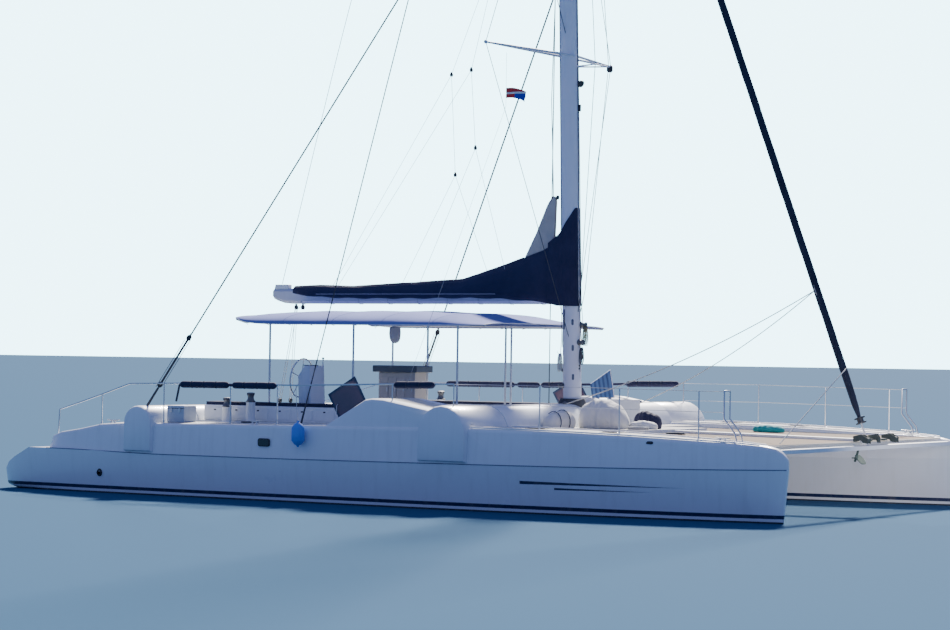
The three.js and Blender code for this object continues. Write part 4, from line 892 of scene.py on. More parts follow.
def hank_route(top, across, count, high, wide):
    """Turns of rope side by side in a hank that hangs from its top."""
    steps = 16
    route = [Vector(top) + Vector((-across / 2, -0.05 * math.cos(a), 0.05 - 0.05 * math.sin(a)))
             for a in (0, 0.4, 0.8, 1.2)]
    for i in range(count * steps + 1):
        turn = 2 * math.pi * i / steps
        drift = (i / (count * steps) - 0.5) * across
        sag = 1 + 0.05 * math.sin(i / steps * 2.1)
        narrow = 0.6 + 0.4 * (0.5 - 0.5 * math.cos(turn))
        route.append(Vector(top) + Vector((drift, wide * math.sin(turn) * narrow * sag,
                                           -high * (0.5 - 0.5 * math.cos(turn)) * sag)))
    return route


def length_of(route):
    return sum((Vector(b) - Vector(a)).length for a, b in zip(route, route[1:]))


def hank(name, top, count, high, wide, material):
    """Coiled end of a rope, hung on the mast by the top of its turns."""
    route = hank_route(top, count * HANK_RADIUS * 2.3, count, high, wide)
    coil = bars_along(name, [route], HANK_RADIUS, material, "root", sides=1)
    length_of(route)


hank("halyard_hank_upper", (2.80, 0.03, 3.98), 7, 0.42, 0.085, olive_rope)
hank("halyard_hank_lower", (2.78, -0.10, 3.50), 6, 0.38, 0.075, dark_rope)
hank("halyard_hank_after", (2.19, -0.06, 3.36), 6, 0.40, 0.075, white_rope)

# Forestay and furled headsail
# A wire from the front beam to the mast, with a furling drum at its foot. The headsail is rolled round it in
# its navy sun strip, and its two sheets lead aft to the main beam.
STAY = (Vector((9.84, 0, 1.505)), Vector((1.99, 0, 22.4)))
STAY_LINE = (STAY[1] - STAY[0]).normalized()
# Furl: distance along the stay, radius of the roll.
FURL = [(0.62, 0.042), (0.88, 0.078), (1.52, 0.090), (9.62, 0.090), (18.12, 0.070), (20.22, 0.048),
        (20.60, 0.030)]
FURL_PITCH = 1.35
CLEW = Vector((8.55, -0.02, 4.80))
SHEET_FEET = [(3.02, -1.25, 2.22), (3.02, 2.3, 2.22)]
SHEET_SAG = 0.22
LEAD_BLOCK = [(0, 0), (0.045, 0), (0.05, 0.03), (0.03, 0.06), (0, 0.065)]
dress("forestay", steel)
dress("furler_drum", plain_finish("furler_alloy", (0.05, 0.055, 0.07), 0.4, 0.3), "furler",
      bevel=0.003)


def surface(across, lengthwise, place):
    """Grid of faces with each point where place says, from its two shares between 0 and 1."""
    shape = bmesh.new()
    bmesh.ops.create_grid(shape, x_segments=across, y_segments=lengthwise, size=0.5)
    for vert in shape.verts:
        vert.co = place(vert.co.x + 0.5, vert.co.y + 0.5)
    bmesh.ops.recalc_face_normals(shape, faces=shape.faces)
    return shape


def furled_point(u, v):
    """A turn and a quarter of the sail, wound in a spiral that overlaps along its leech."""
    side = Vector((0, 1, 0))
    out = side.cross(STAY_LINE)
    distance = FURL[0][0] + (FURL[-1][0] - FURL[0][0]) * v
    radius = along(FURL, distance, 1)
    turn = 2 * math.pi * (1.25 * u + distance / FURL_PITCH)
    crease = noise.noise(Vector((math.cos(turn) * 1.5, math.sin(turn) * 1.5, distance * 1.1)))
    radius *= 0.88 + 0.07 * u + 0.04 * crease
    return STAY[0] + STAY_LINE * distance + (out * math.cos(turn) + side * math.sin(turn)) * radius


def make_weave():
    """Woven cloth: two crossing sets of threads, and patches that the sun has bleached."""
    tree, given, result = effect("weave", [
        ("Colour", "Color", (0.1, 0.1, 0.3, 1)), ("Faded", "Color", (0.2, 0.2, 0.4, 1)),
        ("Threads", "Float", 900.0)], [("Colour", "Color"), ("Height", "Float")])
    place = put(tree, "TexCoord").outputs["Object"]
    axis = put(tree, "SeparateXYZ", {0: place}).outputs
    warp = compute(tree, "SINE", compute(tree, "MULTIPLY", axis["X"], given["Threads"]))
    slant = compute(tree, "ADD", axis["Y"], axis["Z"])
    weft = compute(tree, "SINE", compute(tree, "MULTIPLY", slant, given["Threads"]))
    patches = put(tree, "TexNoise", {"Vector": place, "Scale": 1.6, "Detail": 5.0, "Roughness": 0.6})
    fade = compute(tree, "MULTIPLY", compute(tree, "SUBTRACT", patches.outputs["Fac"], 0.35), 1.8, clamp=True)
    tree.links.new(blend(tree, fade, given["Colour"], given["Faded"]), result["Colour"])
    tree.links.new(compute(tree, "MULTIPLY", warp, weft), result["Height"])
    return tree


weave = make_weave()


def cloth_finish(name, colour, faded, threads=900.0, roughness=0.85, creases=0.25, sheen=0.12):
    """Woven fabric with soft creases and a faint sheen."""
    material, tree, shader = finish(name, colour, roughness, Sheen_Weight=sheen, Sheen_Roughness=0.5,
                                    Specular_IOR_Level=0.25)
    woven = apply_effect(tree, weave, {"Colour": (*colour, 1), "Faded": (*faded, 1), "Threads": threads})
    tree.links.new(woven["Colour"], shader.inputs["Base Color"])
    wrinkle = put(tree, "TexNoise", {"Vector": mapped(tree, (3, 3, 3)), "Scale": 1.0, "Detail": 6.0,
                                     "Roughness": 0.55, "Distortion": 0.8})
    soft = put(tree, "Bump", {"Height": wrinkle.outputs["Fac"], "Strength": creases, "Distance": 0.05})
    fine = put(tree, "Bump", {"Height": woven["Height"], "Strength": 0.12, "Distance": 0.001,
                              "Normal": soft.outputs[0]})
    tree.links.new(fine.outputs[0], shader.inputs["Normal"])
    return material


def thickened(piece, amount):
    skin = piece.modifiers.new("thickness", "SOLIDIFY")
    skin.thickness = amount
    skin.offset = 0


navy_cloth = cloth_finish("navy_canvas", (0.021, 0.023, 0.062), (0.036, 0.039, 0.092))
sun_strip = cloth_finish("faded_sun_strip", (0.016, 0.020, 0.042), (0.040, 0.050, 0.085))
sail_white = cloth_finish("sailcloth", (0.60, 0.54, 0.48), (0.44, 0.39, 0.34), 1200.0, 0.6, 0.5)
headsail = as_piece("furled_headsail", surface(40, 260, furled_point), sun_strip, "furler",
                    ("headsail",))
thickened(headsail, 0.002)


def clew_point(u, v):
    """Corner of the sail that sticks out of the roll, doubled round the clew ring."""
    root = STAY[0] + STAY_LINE * (3.15 + 0.75 * v)
    tip = CLEW + Vector((0.02, 0, 0.10 * (v - 0.5)))
    curl = 0.03 * math.sin(math.pi * u) * math.cos(2 * math.pi * v)
    return root.lerp(tip, u) + Vector((0, -0.075 * math.sin(math.pi * (1 - u) * 0.5) + curl, 0))


clew = as_piece("headsail_clew", surface(10, 12, clew_point), sail_white, "furler")
thickened(clew, 0.006)
sheets = []
for foot in SHEET_FEET:
    line = Vector(foot) - CLEW
    sheets.append([CLEW + line * t - Vector((0, 0, SHEET_SAG * 4 * t * (1 - t)))
                   for t in (i / 10 for i in range(11))])
bars_along("headsail_sheets", sheets, 0.011, white_rope, "root", curved=True)
lead_blocks = [placed(turned(LEAD_BLOCK, 16), foot) for foot in SHEET_FEET]
as_piece("sheet_leads", joined(lead_blocks), black_drum, "root")

# Boom
# The boom, of painted aluminium, turns on the gooseneck. Blocks under its after end carry the mainsheet, a
# light line from the masthead holds the end up, and lazy jacks of thin line run down to it from the mast.
BOOM_END = -5.95
BOOM_TOP = 4.86
BLOCKS = (-5.33, -5.13)
SHEET_FOOT = (-5.62, 0.22, 2.06)
# Pieces between two bodies: first body, second body, start and end of the stretch between them; nothing bends
# it.
SHEET_BEND = ("root", "boom", (-5.5, 0, 2.15), (-5.3, 0, 4.35))
JACK_BEND = ("root", "boom", (1.5, 0, 16.9), (1.2, 0, 14.0))
LIFT = [(-5.76, 0, 4.98), (-4.85, 0, 8.30), (-3.90, 0, 11.74), (-2.60, 0, 15.6), (-1.15, 0, 19.6),
        (0.30, 0, 23.3), on_pivot(CRANE_Z)]
JACKS = [[(1.78, -0.45, 17.0), (-0.11, -0.40, 9.95), (-0.03, -0.30, 8.13), (-1.60, -0.19, 4.98)],
         [(-0.03, -0.30, 8.13), (0.75, -0.19, 5.30)], [(-0.11, -0.40, 9.95), (-4.00, -0.17, 4.88)],
         [(1.78, 0.45, 17.0), (-1.17, 0.40, 9.96), (-0.96, 0.30, 7.56), (-2.40, 0.19, 4.90)],
         [(-0.96, 0.30, 7.56), (0.10, 0.19, 5.10)], [(-1.17, 0.40, 9.96), (-4.40, 0.17, 4.88)]]
dress("gooseneck", steel, bevel=0.002)
# Painted shade: the boom's grey is darker than the mast's paint, for the side of it that lies in shade.
shaded_boom_paint = plain_finish("shaded_boom_paint", (0.60, 0.60, 0.69), 0.4, amount=0.22, scale=1.4)
dress("boom", shaded_boom_paint, "boom", bevel=0.008)


def block_form():
    """Pulley block: two cheeks round a sheave, with a strap over the top."""
    sheave = turned([(0, -0.012), (0.045, -0.014), (0.038, 0), (0.045, 0.014), (0, 0.012)], 20)
    cheeks = []
    for z in (-0.028, 0.016):
        cheek = plate(0.11, 0.085, 0.040, 0.012)
        bmesh.ops.translate(cheek, vec=(0, 0, z), verts=cheek.verts)
        cheeks.append(cheek)
    strap = box_between((0.04, -0.016, -0.026), (0.085, 0.016, 0.026))
    return joined([sheave, *cheeks, strap])


end_box = joined([
    box_between((BOOM_END + 0.03, -0.085, BOOM_TOP - 0.01), (BOOM_END + 0.42, 0.085, BOOM_TOP + 0.10)),
    box_between((BOOM_END - 0.01, -0.05, BOOM_TOP - 0.22), (BOOM_END + 0.06, 0.05, BOOM_TOP + 0.06))])
as_piece("boom_end_sheaves", end_box, painted_tube, "boom", bevel=0.015)
under = [placed(block_form(), (x, 0, 4.40), (0, 1, 0), (0, 0, 1)) for x in BLOCKS]
as_piece("mainsheet_blocks", joined(under), dark_fitting, "boom", bevel=0.002)
deck_blocks = [placed(block_form(), (SHEET_FOOT[0], sign * SHEET_FOOT[1], 2.12), (0, 1, 0), (0, 0, -1))
               for sign in (-1, 1)]
as_piece("traveller_blocks", joined(deck_blocks), dark_fitting, "root", bevel=0.002)
falls = [[(BLOCKS[0], aside, 4.38), (SHEET_FOOT[0], sign * SHEET_FOOT[1] + aside, SHEET_FOOT[2] + 0.06)]
         for sign in (-1, 1) for aside in (-0.04, 0.04)]
falls += [[(BLOCKS[0], 0.04, 4.36), (BLOCKS[1], 0.0, 4.44)]]
steps = [[Vector(start).lerp(Vector(end), t / 8) for t in range(9)] for start, end in falls]
bars_along("mainsheet", steps, 0.007, white_rope, SHEET_BEND)
bars_along("topping_lift", [LIFT], 0.008, white_rope, "boom", curved=True)
jack_routes = [[Vector(a).lerp(Vector(b), i / 6) for a, b in zip(route, route[1:]) for i in range(6)]
               + [Vector(route[-1])] for route in JACKS]
bars_along("lazy_jacks", jack_routes, 0.005, white_rope, JACK_BEND, sides=1)
for side, upper, lower in (("starboard", JACKS[0][1], JACKS[0][2]), ("port", JACKS[3][1], JACKS[3][2])):
    pulleys = [placed(sized(block_form(), 0.8), place, (0.3, 1, 0), (0, 0, 1)) for place in (upper, lower)]
    as_piece(f"lazy_jack_blocks_{side}", joined(pulleys), dark_fitting, "boom")

# Lowered mainsail and its cover
# The mainsail lies flaked on the boom under a navy canvas cover. Beside the mast the cover opens for the head
# of the sail, and two wings of it are laced round the mast.
# Cover: x, top, half width, foot. Its section: share of the way up its side, of the width, of the height.
COVER = [(-5.35, 4.930, 0.140, 4.700), (-4.60, 4.955, 0.185, 4.640), (-3.60, 4.930, 0.200, 4.610),
         (-2.00, 5.010, 0.210, 4.610), (-0.50, 5.090, 0.215, 4.620), (0.10, 5.260, 0.215, 4.620),
         (0.70, 5.440, 0.215, 4.600), (1.30, 5.630, 0.210, 4.560), (1.70, 5.770, 0.200, 4.530),
         (1.97, 5.930, 0.185, 4.500)]
COVER_SECTION = [(0.0, 0.66, 0.0), (0.10, 0.97, 0.10), (0.24, 1.0, 0.32), (0.38, 0.96, 0.52),
                 (0.60, 0.70, 0.79), (0.84, 0.28, 0.975), (1.0, 0.0, 1.0)]
COVER_TIE = 0.85
COVER_MOUTH = {"from": 1.16, "half": 0.062, "deep": 0.2}
PIPING_Z = 4.722
SEAMS = (-4.25, -2.71, -1.116, 0.42)
# Where each tie passes under the boom: y, height.
TIE_UNDER = [(-0.134, 4.53), (-0.07, 4.482), (0.07, 4.482), (0.134, 4.53)]
# Wings: x and height of their tops, x from the mast and half width, x and height of their feet.
WING_TOP = [(1.90, 5.90), (2.19, 6.10), (2.60, 6.70)]
WING_SIDE = [(-0.60, 0.196), (-0.25, 0.192), (-0.05, 0.180), (0.10, 0.150), (0.17, 0.118), (0.225, 0.060)]
WING_FOOT = [(1.90, 4.52), (2.15, 4.45), (2.60, 4.45)]
WING_AFT = 1.90
WING_Z = 5.4
WING_BEND = ("boom", "root", (1.97, 0, 5.2), (2.22, 0, 5.2))
# Head of the sail: height, after edge, fore edge.
HEAD = [(5.45, 1.13, 1.96), (6.15, 1.50, 1.99), (6.74, 1.76, 2.01), (6.86, 1.83, 2.015), (6.97, 1.93, 1.99)]
HEAD_LEAVES = 5


def cover_point(u, v, proud=0.0):
    """Cloth from one side of the boom over the folded sail to the other, pulled in where it is tied."""
    x = COVER[0][0] + (COVER[-1][0] - COVER[0][0]) * v
    top, half, low = (along(COVER, x, i) for i in (1, 2, 3))
    share = 1 - abs(2 * u - 1)
    wide, tall = along(COVER_SECTION, share, 1), along(COVER_SECTION, share, 2)
    slack = 0.5 - 0.5 * math.cos(2 * math.pi * (x - COVER[0][0]) / COVER_TIE)
    fold = noise.noise(Vector((x * 1.3, u * 5.0, 0.3))) * 0.6
    fold += noise.noise(Vector((x * 4.0 + u * 6, u * 9.0, 7.0))) * 0.35
    wide *= 1 - 0.05 * (1 - slack) + 0.045 * fold
    rise = low + (top - low) * tall + 0.02 * (1 - slack) * (1 - share) + 0.018 * fold * share
    sign = -1 if u < 0.5 else 1
    return Vector((x, sign * (half * wide + proud), min(rise, top)))


def in_mouth(at):
    return (at.x > COVER_MOUTH["from"] and abs(at.y) < COVER_MOUTH["half"]
            and at.z > along(COVER, at.x, 1) - COVER_MOUTH["deep"])


def cover_form():
    """The cover, with its mouth cut where the head of the sail comes out."""
    shape = surface(48, 150, cover_point)
    mouth = [face for face in shape.faces if in_mouth(face.calc_center_median())]
    bmesh.ops.delete(shape, geom=mouth, context="FACES")
    return shape


cover = as_piece("mainsail_cover", cover_form(), navy_cloth, "boom", ("sail_cover",))
thickened(cover, 0.003)
seam_routes = []
for x in SEAMS:
    v = (x - COVER[0][0]) / (COVER[-1][0] - COVER[0][0])
    seam_routes.append([cover_point(i / 40, v, 0.002) for i in range(41)])
bars_along("cover_seams", seam_routes, 0.004, navy_cloth, "boom", sides=1)


def piping_route(sign):
    """Along the cover's side at one height, aft to fore."""
    route = []
    for i in range(61):
        v = 0.10 + 0.70 * i / 60
        near = min((cover_point(0.5 + sign * k / 200, v, 0.003) for k in range(40, 100)),
                   key=lambda point: abs(point.z - PIPING_Z))
        route.append(Vector((near.x, near.y, PIPING_Z)))
    return route


light_piping = plain_finish("light_piping", (0.50, 0.52, 0.60), 0.6)
piping = [piping_route(sign) for sign in (-1, 1)]
bars_along("cover_piping", piping, 0.006, light_piping, "boom")
ties = []
for i in range(9):
    x = -5.1 + COVER_TIE * i
    low = along(COVER, x, 3)
    half = 0.66 * along(COVER, x, 2)
    ties.append([(x, -half, low + 0.01), *((x, y, z) for y, z in TIE_UNDER), (x, half, low + 0.01)])
bars_along("cover_ties", ties, 0.006, white_rope, "boom", sides=1)


def wing_point(sign):
    """Where each point of a wing lies, from its after edge forward round one side of the mast."""
    middle = mast_x(WING_Z)

    def place(u, v):
        x = WING_AFT + (middle + WING_SIDE[-1][0] - WING_AFT) * u
        low, high = along(WING_FOOT, x, 1), along(WING_TOP, x, 1)
        z = low + (high - low) * v
        shift = (mast_x(z) - middle) * u
        fold = noise.noise(Vector((x * 7, z * 1.2, sign)))
        fold += 0.4 * noise.noise(Vector((x * 16, z * 2.5, sign)))
        y = along(WING_SIDE, x - middle, 1) * (1 + 0.10 * fold * math.sin(math.pi * u))
        y *= 1 - 0.28 * max(v - 0.75, 0) * (1 - u)
        return Vector((x + shift, sign * y, z))
    return place


lacing = []
for side, sign in SIDES.items():
    wing = as_piece(f"cover_wing_{side}", surface(40, 60, wing_point(sign)), navy_cloth, WING_BEND)
    thickened(wing, 0.003)
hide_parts("mast_cover")
for i in range(10):
    z = 4.55 + 0.2 * i
    lacing.append([mast_skin(z + 0.1 * (a > 0), a, 0.012) for a in (-0.85, -0.5, -0.2, 0.2, 0.5, 0.85)])
bars_along("cover_lacing", lacing, 0.004, white_rope, "root", sides=1)


def head_point(u, v):
    """Sailcloth flaked from side to side in upright leaves behind the mast."""
    z = HEAD[0][0] + (HEAD[-1][0] - HEAD[0][0]) * v
    aft, fore = along(HEAD, z, 1), along(HEAD, z, 2)
    swing = 0.5 - 0.5 * math.cos(math.pi * u * HEAD_LEAVES)
    wave = noise.noise(Vector((u * HEAD_LEAVES, z * 2.2, 4.0))) * 0.012
    return Vector((fore + (aft - fore) * swing, (u - 0.5) * 0.10 + wave, z))


head = as_piece("mainsail_head", surface(90, 36, head_point), sail_white, "boom",
                ("sail_head",))
thickened(head, 0.002)
board = [placed(plate(0.16, 0.10, 0.03, 0.012), (1.93, -0.03, 6.90), (0, -1, 0), (0.2, 0, 1)),
         placed(plate(0.10, 0.07, 0.03, 0.03), (2.06, -0.02, 6.95), (0, -1, 0), (0, 0, 1)),
         placed(plate(0.16, 0.10, 0.03, 0.012), (1.93, 0.03, 6.90), (0, 1, 0), (0.2, 0, 1))]
as_piece("headboard", joined(board), dark_fitting, "boom", bevel=0.003)
halyard = [(1.93, 0, 6.96), (1.84, 0, 9.2), on_pivot(12.0), on_pivot(CRANE_Z)]
bars_along("main_halyard", [halyard], 0.010, dark_rope, "boom")

# Canopy
# One sheet of canvas is stretched over three steel bows and two long rails on posts. Its lilac-blue is
# painted shade, the tone the cloth shows in shade laid into its colour. It has welded seams, a white hem all
# round, and lashings to the rails.
CANOPY_EDGE = 3.95
# Canopy sections: x, height of the crown over the edge, half width, rise of the edge.
BOWS = [(-5.14, 0.100, 2.69, 0.135), (-4.88, 0.255, 2.72, 0.050), (-4.50, 0.325, 2.75, 0.015),
        (-4.00, 0.350, 2.75, 0.000), (-1.10, 0.365, 2.75, 0.000), (0.60, 0.300, 2.75, 0.005),
        (1.78, 0.060, 2.72, 0.015)]
FLATNESS = 2.6
PANEL = 1.42
FRAME_SWELL = 0.005
LASHING = {"pitch": 0.62, "radius": 0.005, "rail": 2.66}


def canopy_point(u, v, lift=0.004):
    x = BOWS[0][0] + (BOWS[-1][0] - BOWS[0][0]) * v
    crown, half, rise = (along(BOWS, x, i) for i in (1, 2, 3))
    share = math.sin((u - 0.5) * math.pi)
    height = math.sqrt(max(1 - abs(share) ** FLATNESS, 0))
    sag = 0.012 * math.sin(math.pi * (x - BOWS[0][0]) / PANEL) ** 2 * height
    return Vector((x, share * half, CANOPY_EDGE + rise + crown * height + lift - sag))


# Painted shade: the canopy's dark lilac-blue is the tone its cloth shows in shade.
canopy_cloth = cloth_finish("canopy_canvas_painted_shade", (0.185, 0.225, 0.52), (0.15, 0.19, 0.46), 700.0, 0.9, 0.12, 0.0)
canopy = as_piece("canopy_cloth", surface(72, 120, canopy_point), canopy_cloth, "root",
                  ("canopy",))
thickened(canopy, 0.003)
hem_tape = plain_finish("hem_tape", (0.74, 0.76, 0.82), 0.7, amount=0.15)
edges = [[canopy_point(u, i / 60) for i in range(61)] for u in (0, 1)]
edges += [[canopy_point(i / 40, v) for i in range(41)] for v in (0, 1)]
bars_along("canopy_hem", edges, 0.012, hem_tape, "root", sides=1)
count = round((BOWS[-1][0] - BOWS[0][0]) / PANEL)
seams = [[canopy_point(i / 40, k / count, 0.006) for i in range(41)] for k in range(1, count)]
bars_along("canopy_seams", seams, 0.005, canopy_cloth, "root", sides=1)
ties = []
for k in range(round((BOWS[-1][0] - BOWS[0][0]) / LASHING["pitch"])):
    x = BOWS[0][0] + LASHING["pitch"] * (k + 0.5)
    half, rise = along(BOWS, x, 2), along(BOWS, x, 3)
    for sign in (-1, 1):
        ties.append([(x, sign * half, CANOPY_EDGE + rise),
                     (x + 0.03, sign * LASHING["rail"], CANOPY_EDGE - 0.02),
                     (x + 0.06, sign * half, CANOPY_EDGE + rise)])
bars_along("canopy_lashings", ties, LASHING["radius"], white_rope, "root", sides=1)
as_piece("canopy_frame_shell", swollen("canopy_frame", FRAME_SWELL), steel, "root",
         ("canopy_frame",))

# Bar and helm
# A counter with a dark top and panelled doors stands in the middle of the cockpit. The steering console, with
# its instruments and its steel wheel, stands to starboard.
DOORS = {"low": 1.80, "high": 2.74, "from": -2.64, "pitch": 0.235, "wide": 0.215, "side": 0.252}
PULL = {"long": 0.10, "wide": 0.022, "thick": 0.024, "away": 0.075, "z": 2.45}
GAUGES = [(-2.86, -3.02), (-2.86, -2.90), (-2.86, -2.78), (-2.70, -2.96), (-2.70, -2.82)]
GAUGE = [(0, 0), (0.048, 0), (0.048, 0.014), (0.042, 0.018), (0.040, 0.012), (0, 0.012)]
KNOB = [(0, 0), (0.020, 0.006), (0.024, 0.022), (0.016, 0.040), (0, 0.044)]
CONSOLE_TOP = 3.0
beige_laminate = plain_finish("beige_laminate", (0.56, 0.53, 0.47), 0.5, amount=0.25)
stone_top = plain_finish("dark_counter_top", (0.075, 0.095, 0.125), 0.3, amount=0.2, Coat_Weight=0.3)
console_grey = plain_finish("console_gelcoat", (0.60, 0.66, 0.76), 0.35, amount=0.2)
dress("bar_counter", beige_laminate, bevel=0.012)
dress("bar_top", stone_top, bevel=0.02)
dress("helm_console", console_grey, bevel=0.02)
dress("helm_wheel", steel, "helm")
doors, pulls = [], []
tall = DOORS["high"] - DOORS["low"]
for i in range(4):
    for sign in (-1, 1):
        x, y = DOORS["from"] + DOORS["pitch"] * (i + 0.5), sign * (DOORS["side"] - 0.004)
        middle = (x, y, (DOORS["low"] + DOORS["high"]) / 2)
        doors.append(placed(plate(tall, DOORS["wide"], 0.02, 0.014), middle, (0, sign, 0), (0, 0, 1)))
        pulls.append(placed(plate(PULL["long"], PULL["wide"], 0.008, PULL["thick"]),
                            (x + PULL["away"], y, PULL["z"]), (0, sign, 0), (0, 0, 1)))
as_piece("bar_doors", joined(doors), beige_laminate, "root", bevel=0.004)
as_piece("bar_door_pulls", joined(pulls), steel, "root", bevel=0.003)
dials = [placed(turned(GAUGE), (x, y, CONSOLE_TOP - 0.002)) for x, y in GAUGES]
as_piece("console_gauges", joined(dials), dark_fitting, "root")
levers = [[(-2.63, -2.68, CONSOLE_TOP - 0.01), (-2.60, -2.68, CONSOLE_TOP + 0.16)],
          [(-2.63, -2.64, CONSOLE_TOP - 0.01), (-2.65, -2.64, CONSOLE_TOP + 0.16)]]
bars_along("throttle_levers", levers, 0.010, steel, "root")
knobs = [placed(turned(KNOB, 16), (x, y, z - 0.01)) for _, (x, y, z) in levers]
as_piece("throttle_knobs", joined(knobs), dark_fitting, "root")

# Benches and cushions
# Moulded benches along both sides of the cockpit, with locker doors in their faces. The padded seat cushions
# in navy canvas are crowned forms swollen by a short cloth simulation, with piping sewn round their edges.
bench_paint = plain_finish("bench_gelcoat", (0.84, 0.86, 0.88), 0.4, amount=0.3)
BENCHES = {"starboard": (-5.23, -1.47), "port": (-5.23, 1.78)}
BENCH_FACES = (3.288, 3.712)
BENCH_DOORS = {"pitch": 0.62, "z": 1.88, "latch": 1.95}
CUSHION = {"y": 3.50, "half": 0.19, "foot": 2.0605, "high": 0.078, "long": 0.94, "gap": 0.011,
           "piping": 0.0055}
FILLING = {"voxel": 0.013, "pressure": 4.0, "frames": 20, "cap": 0.009}


def cushion_places(aft, fore):
    """Length of each cushion between two ends of a bench, and the middles of all of them."""
    count = round((fore - aft) / CUSHION["long"])
    long = (fore - aft) / count
    return long, [aft + long * (i + 0.5) for i in range(count)]


def cushion_row(sign, aft, fore):
    """Seat cushions end to end: crowned closed forms whose sides pull in between their corners."""
    long, middles = cushion_places(aft, fore)
    shapes = []
    for i, middle in enumerate(middles):
        shape = bmesh.new()
        bmesh.ops.create_cube(shape, size=1)
        bmesh.ops.subdivide_edges(shape, edges=shape.edges, cuts=9, use_grid_fill=True)
        for vert in shape.verts:
            x, y, z = vert.co * 2
            crown = (1 - x ** 4) * (1 - y ** 4)
            pull = 0.03 * (1 - x * x if abs(y) > abs(x) else 1 - y * y)
            level = z * (0.72 + 0.28 * crown)
            if z < 0:
                level = -1 if abs(z) > 0.99 else z
            bow = 1 - pull * (1 - abs(z))
            dent = 0.02 * noise.noise(Vector((x * 2 + i * 5, y * 2, sign)))
            vert.co = (middle + x * bow * (long / 2 - CUSHION["gap"]),
                       sign * CUSHION["y"] + y * bow * (CUSHION["half"] - 0.004),
                       CUSHION["foot"] + CUSHION["high"] * (0.5 + level / 2 + (dent if z > 0 else 0)))
        shapes.append(shape)
    return joined(shapes)


def settle(piece):
    """Makes what the modifiers give the piece's own mesh, and removes them."""
    data = bpy.data.meshes.new_from_object(piece.evaluated_get(bpy.context.evaluated_depsgraph_get()))
    old = piece.data
    piece.modifiers.clear()
    piece.data = data
    if not data.materials:
        data.materials.append(old.materials[0])
    data.shade_smooth()


def filled(piece, floor):
    """Swells closed cloth forms as stuffing does; no point moves more than the cap or below the floor."""
    grid = piece.modifiers.new("grid", "REMESH")
    grid.mode, grid.voxel_size = "VOXEL", FILLING["voxel"]
    settle(piece)
    start = [vert.co.copy() for vert in piece.data.vertices]
    cloth = piece.modifiers.new("filling", "CLOTH")
    cloth.settings.use_pressure = True
    cloth.settings.uniform_pressure_force = FILLING["pressure"]
    cloth.settings.effector_weights.gravity = 0
    cloth.point_cache.frame_end = FILLING["frames"]
    for frame in range(1, FILLING["frames"] + 1):
        bpy.context.scene.frame_set(frame)
    settle(piece)
    bpy.context.scene.frame_set(1)
    for vert, old in zip(piece.data.vertices, start):
        move = vert.co - old
        vert.co = old + move * min(1, FILLING["cap"] / max(move.length, 1e-6))
        vert.co.z = max(vert.co.z, floor)


def piping_routes(piece, sign, aft, fore):
    """Lines round the upper and lower edges of each cushion, on its skin."""
    tree = BVHTree.FromObject(piece, bpy.context.evaluated_depsgraph_get())
    long, middles = cushion_places(aft, fore)
    routes = []
    for middle in middles:
        for share in (0.13, 0.86):
            route = []
            for turn in (k * math.pi / 32 for k in range(65)):
                c, s = math.cos(turn), math.sin(turn)
                reach = 1 / max(abs(c), abs(s))
                at = Vector((middle + c * reach * long / 2,
                             sign * CUSHION["y"] + s * reach * CUSHION["half"],
                             CUSHION["foot"] + CUSHION["high"] * share))
                skin, normal, _, _ = tree.find_nearest(at)
                route.append(Vector((skin.x, skin.y, at.z)) + Vector((normal.x, normal.y, 0)) * 0.002)
            routes.append(route)
    return routes


for side, (aft, fore) in BENCHES.items():
    sign = SIDES[side]
    dress(f"bench_{side}", bench_paint, bevel=0.015)
    cushions = as_piece(f"seat_cushions_{side}", cushion_row(sign, aft, fore), navy_cloth, "root",
                        (f"bench_cushion_{side}",), angle=math.radians(60))
    filled(cushions, CUSHION["foot"])
    bars_along(f"cushion_piping_{side}", piping_routes(cushions, sign, aft, fore), CUSHION["piping"],
               sun_strip, "root", sides=1)
    fronts, latches = [], []
    for i in range(round((fore - aft) / BENCH_DOORS["pitch"])):
        x = aft + BENCH_DOORS["pitch"] * (i + 0.5)
        for y, out in ((BENCH_FACES[0], -sign), (BENCH_FACES[1], sign)):
            door, latch = plate(0.56, 0.24, 0.03, 0.012), plate(0.06, 0.03, 0.012, 0.020)
            fronts.append(placed(door, (x, sign * y, BENCH_DOORS["z"]), (0, out, 0)))
            latches.append(placed(latch, (x, sign * y, BENCH_DOORS["latch"]), (0, out, 0)))
    as_piece(f"bench_doors_{side}", joined(fronts), bench_paint, "root", bevel=0.004)
    as_piece(f"bench_latches_{side}", joined(latches), dark_fitting, "root", bevel=0.003)

# Guard rails and leaning pads
# Steel stanchions carry a rail of tube along the cockpit and wires further forward. Padded navy sleeves are
# laced over the rail beside the benches.
# Top of the rail: x, height. Pads: side, part, stretches from x to x.
TOP_LINE = [(-8.56, 1.240), (-8.51, 1.885), (-7.96, 2.030), (-7.11, 2.270), (-6.24, 2.530), (-4.81, 2.560),
            (-1.50, 2.575), (1.20, 2.650), (2.62, 2.670), (4.70, 2.670), (6.52, 2.650), (8.24, 2.630)]
RAIL_INSET = 0.19
STANCHIONS = (-7.11, -5.20, -3.30, -2.00, 1.06, 2.62, 4.70, 6.52, 8.24)
PADS = [("starboard", "aft", [(-4.73, -3.35), (-3.25, -2.04)]), ("starboard", "fore", [(1.11, 2.14)]),
        ("port", "aft", [(-4.30, -2.24), (-2.16, -1.50)]), ("port", "fore", [(-1.45, -0.30), (1.00, 2.48)])]
PAD = {"radius": 0.078, "sleeve": 0.032, "low": 0.020, "tie": 0.34, "lace": 0.080}
STANCHION_BASE = [(0, 0), (0.050, 0), (0.050, 0.010), (0.024, 0.016), (0.022, 0.07), (0.0, 0.07)]


def rail_y(x, sign):
    half = along(DECK_EDGE, x, 1)
    return sign * (HULL_Y + half - min(RAIL_INSET, half * 0.45))


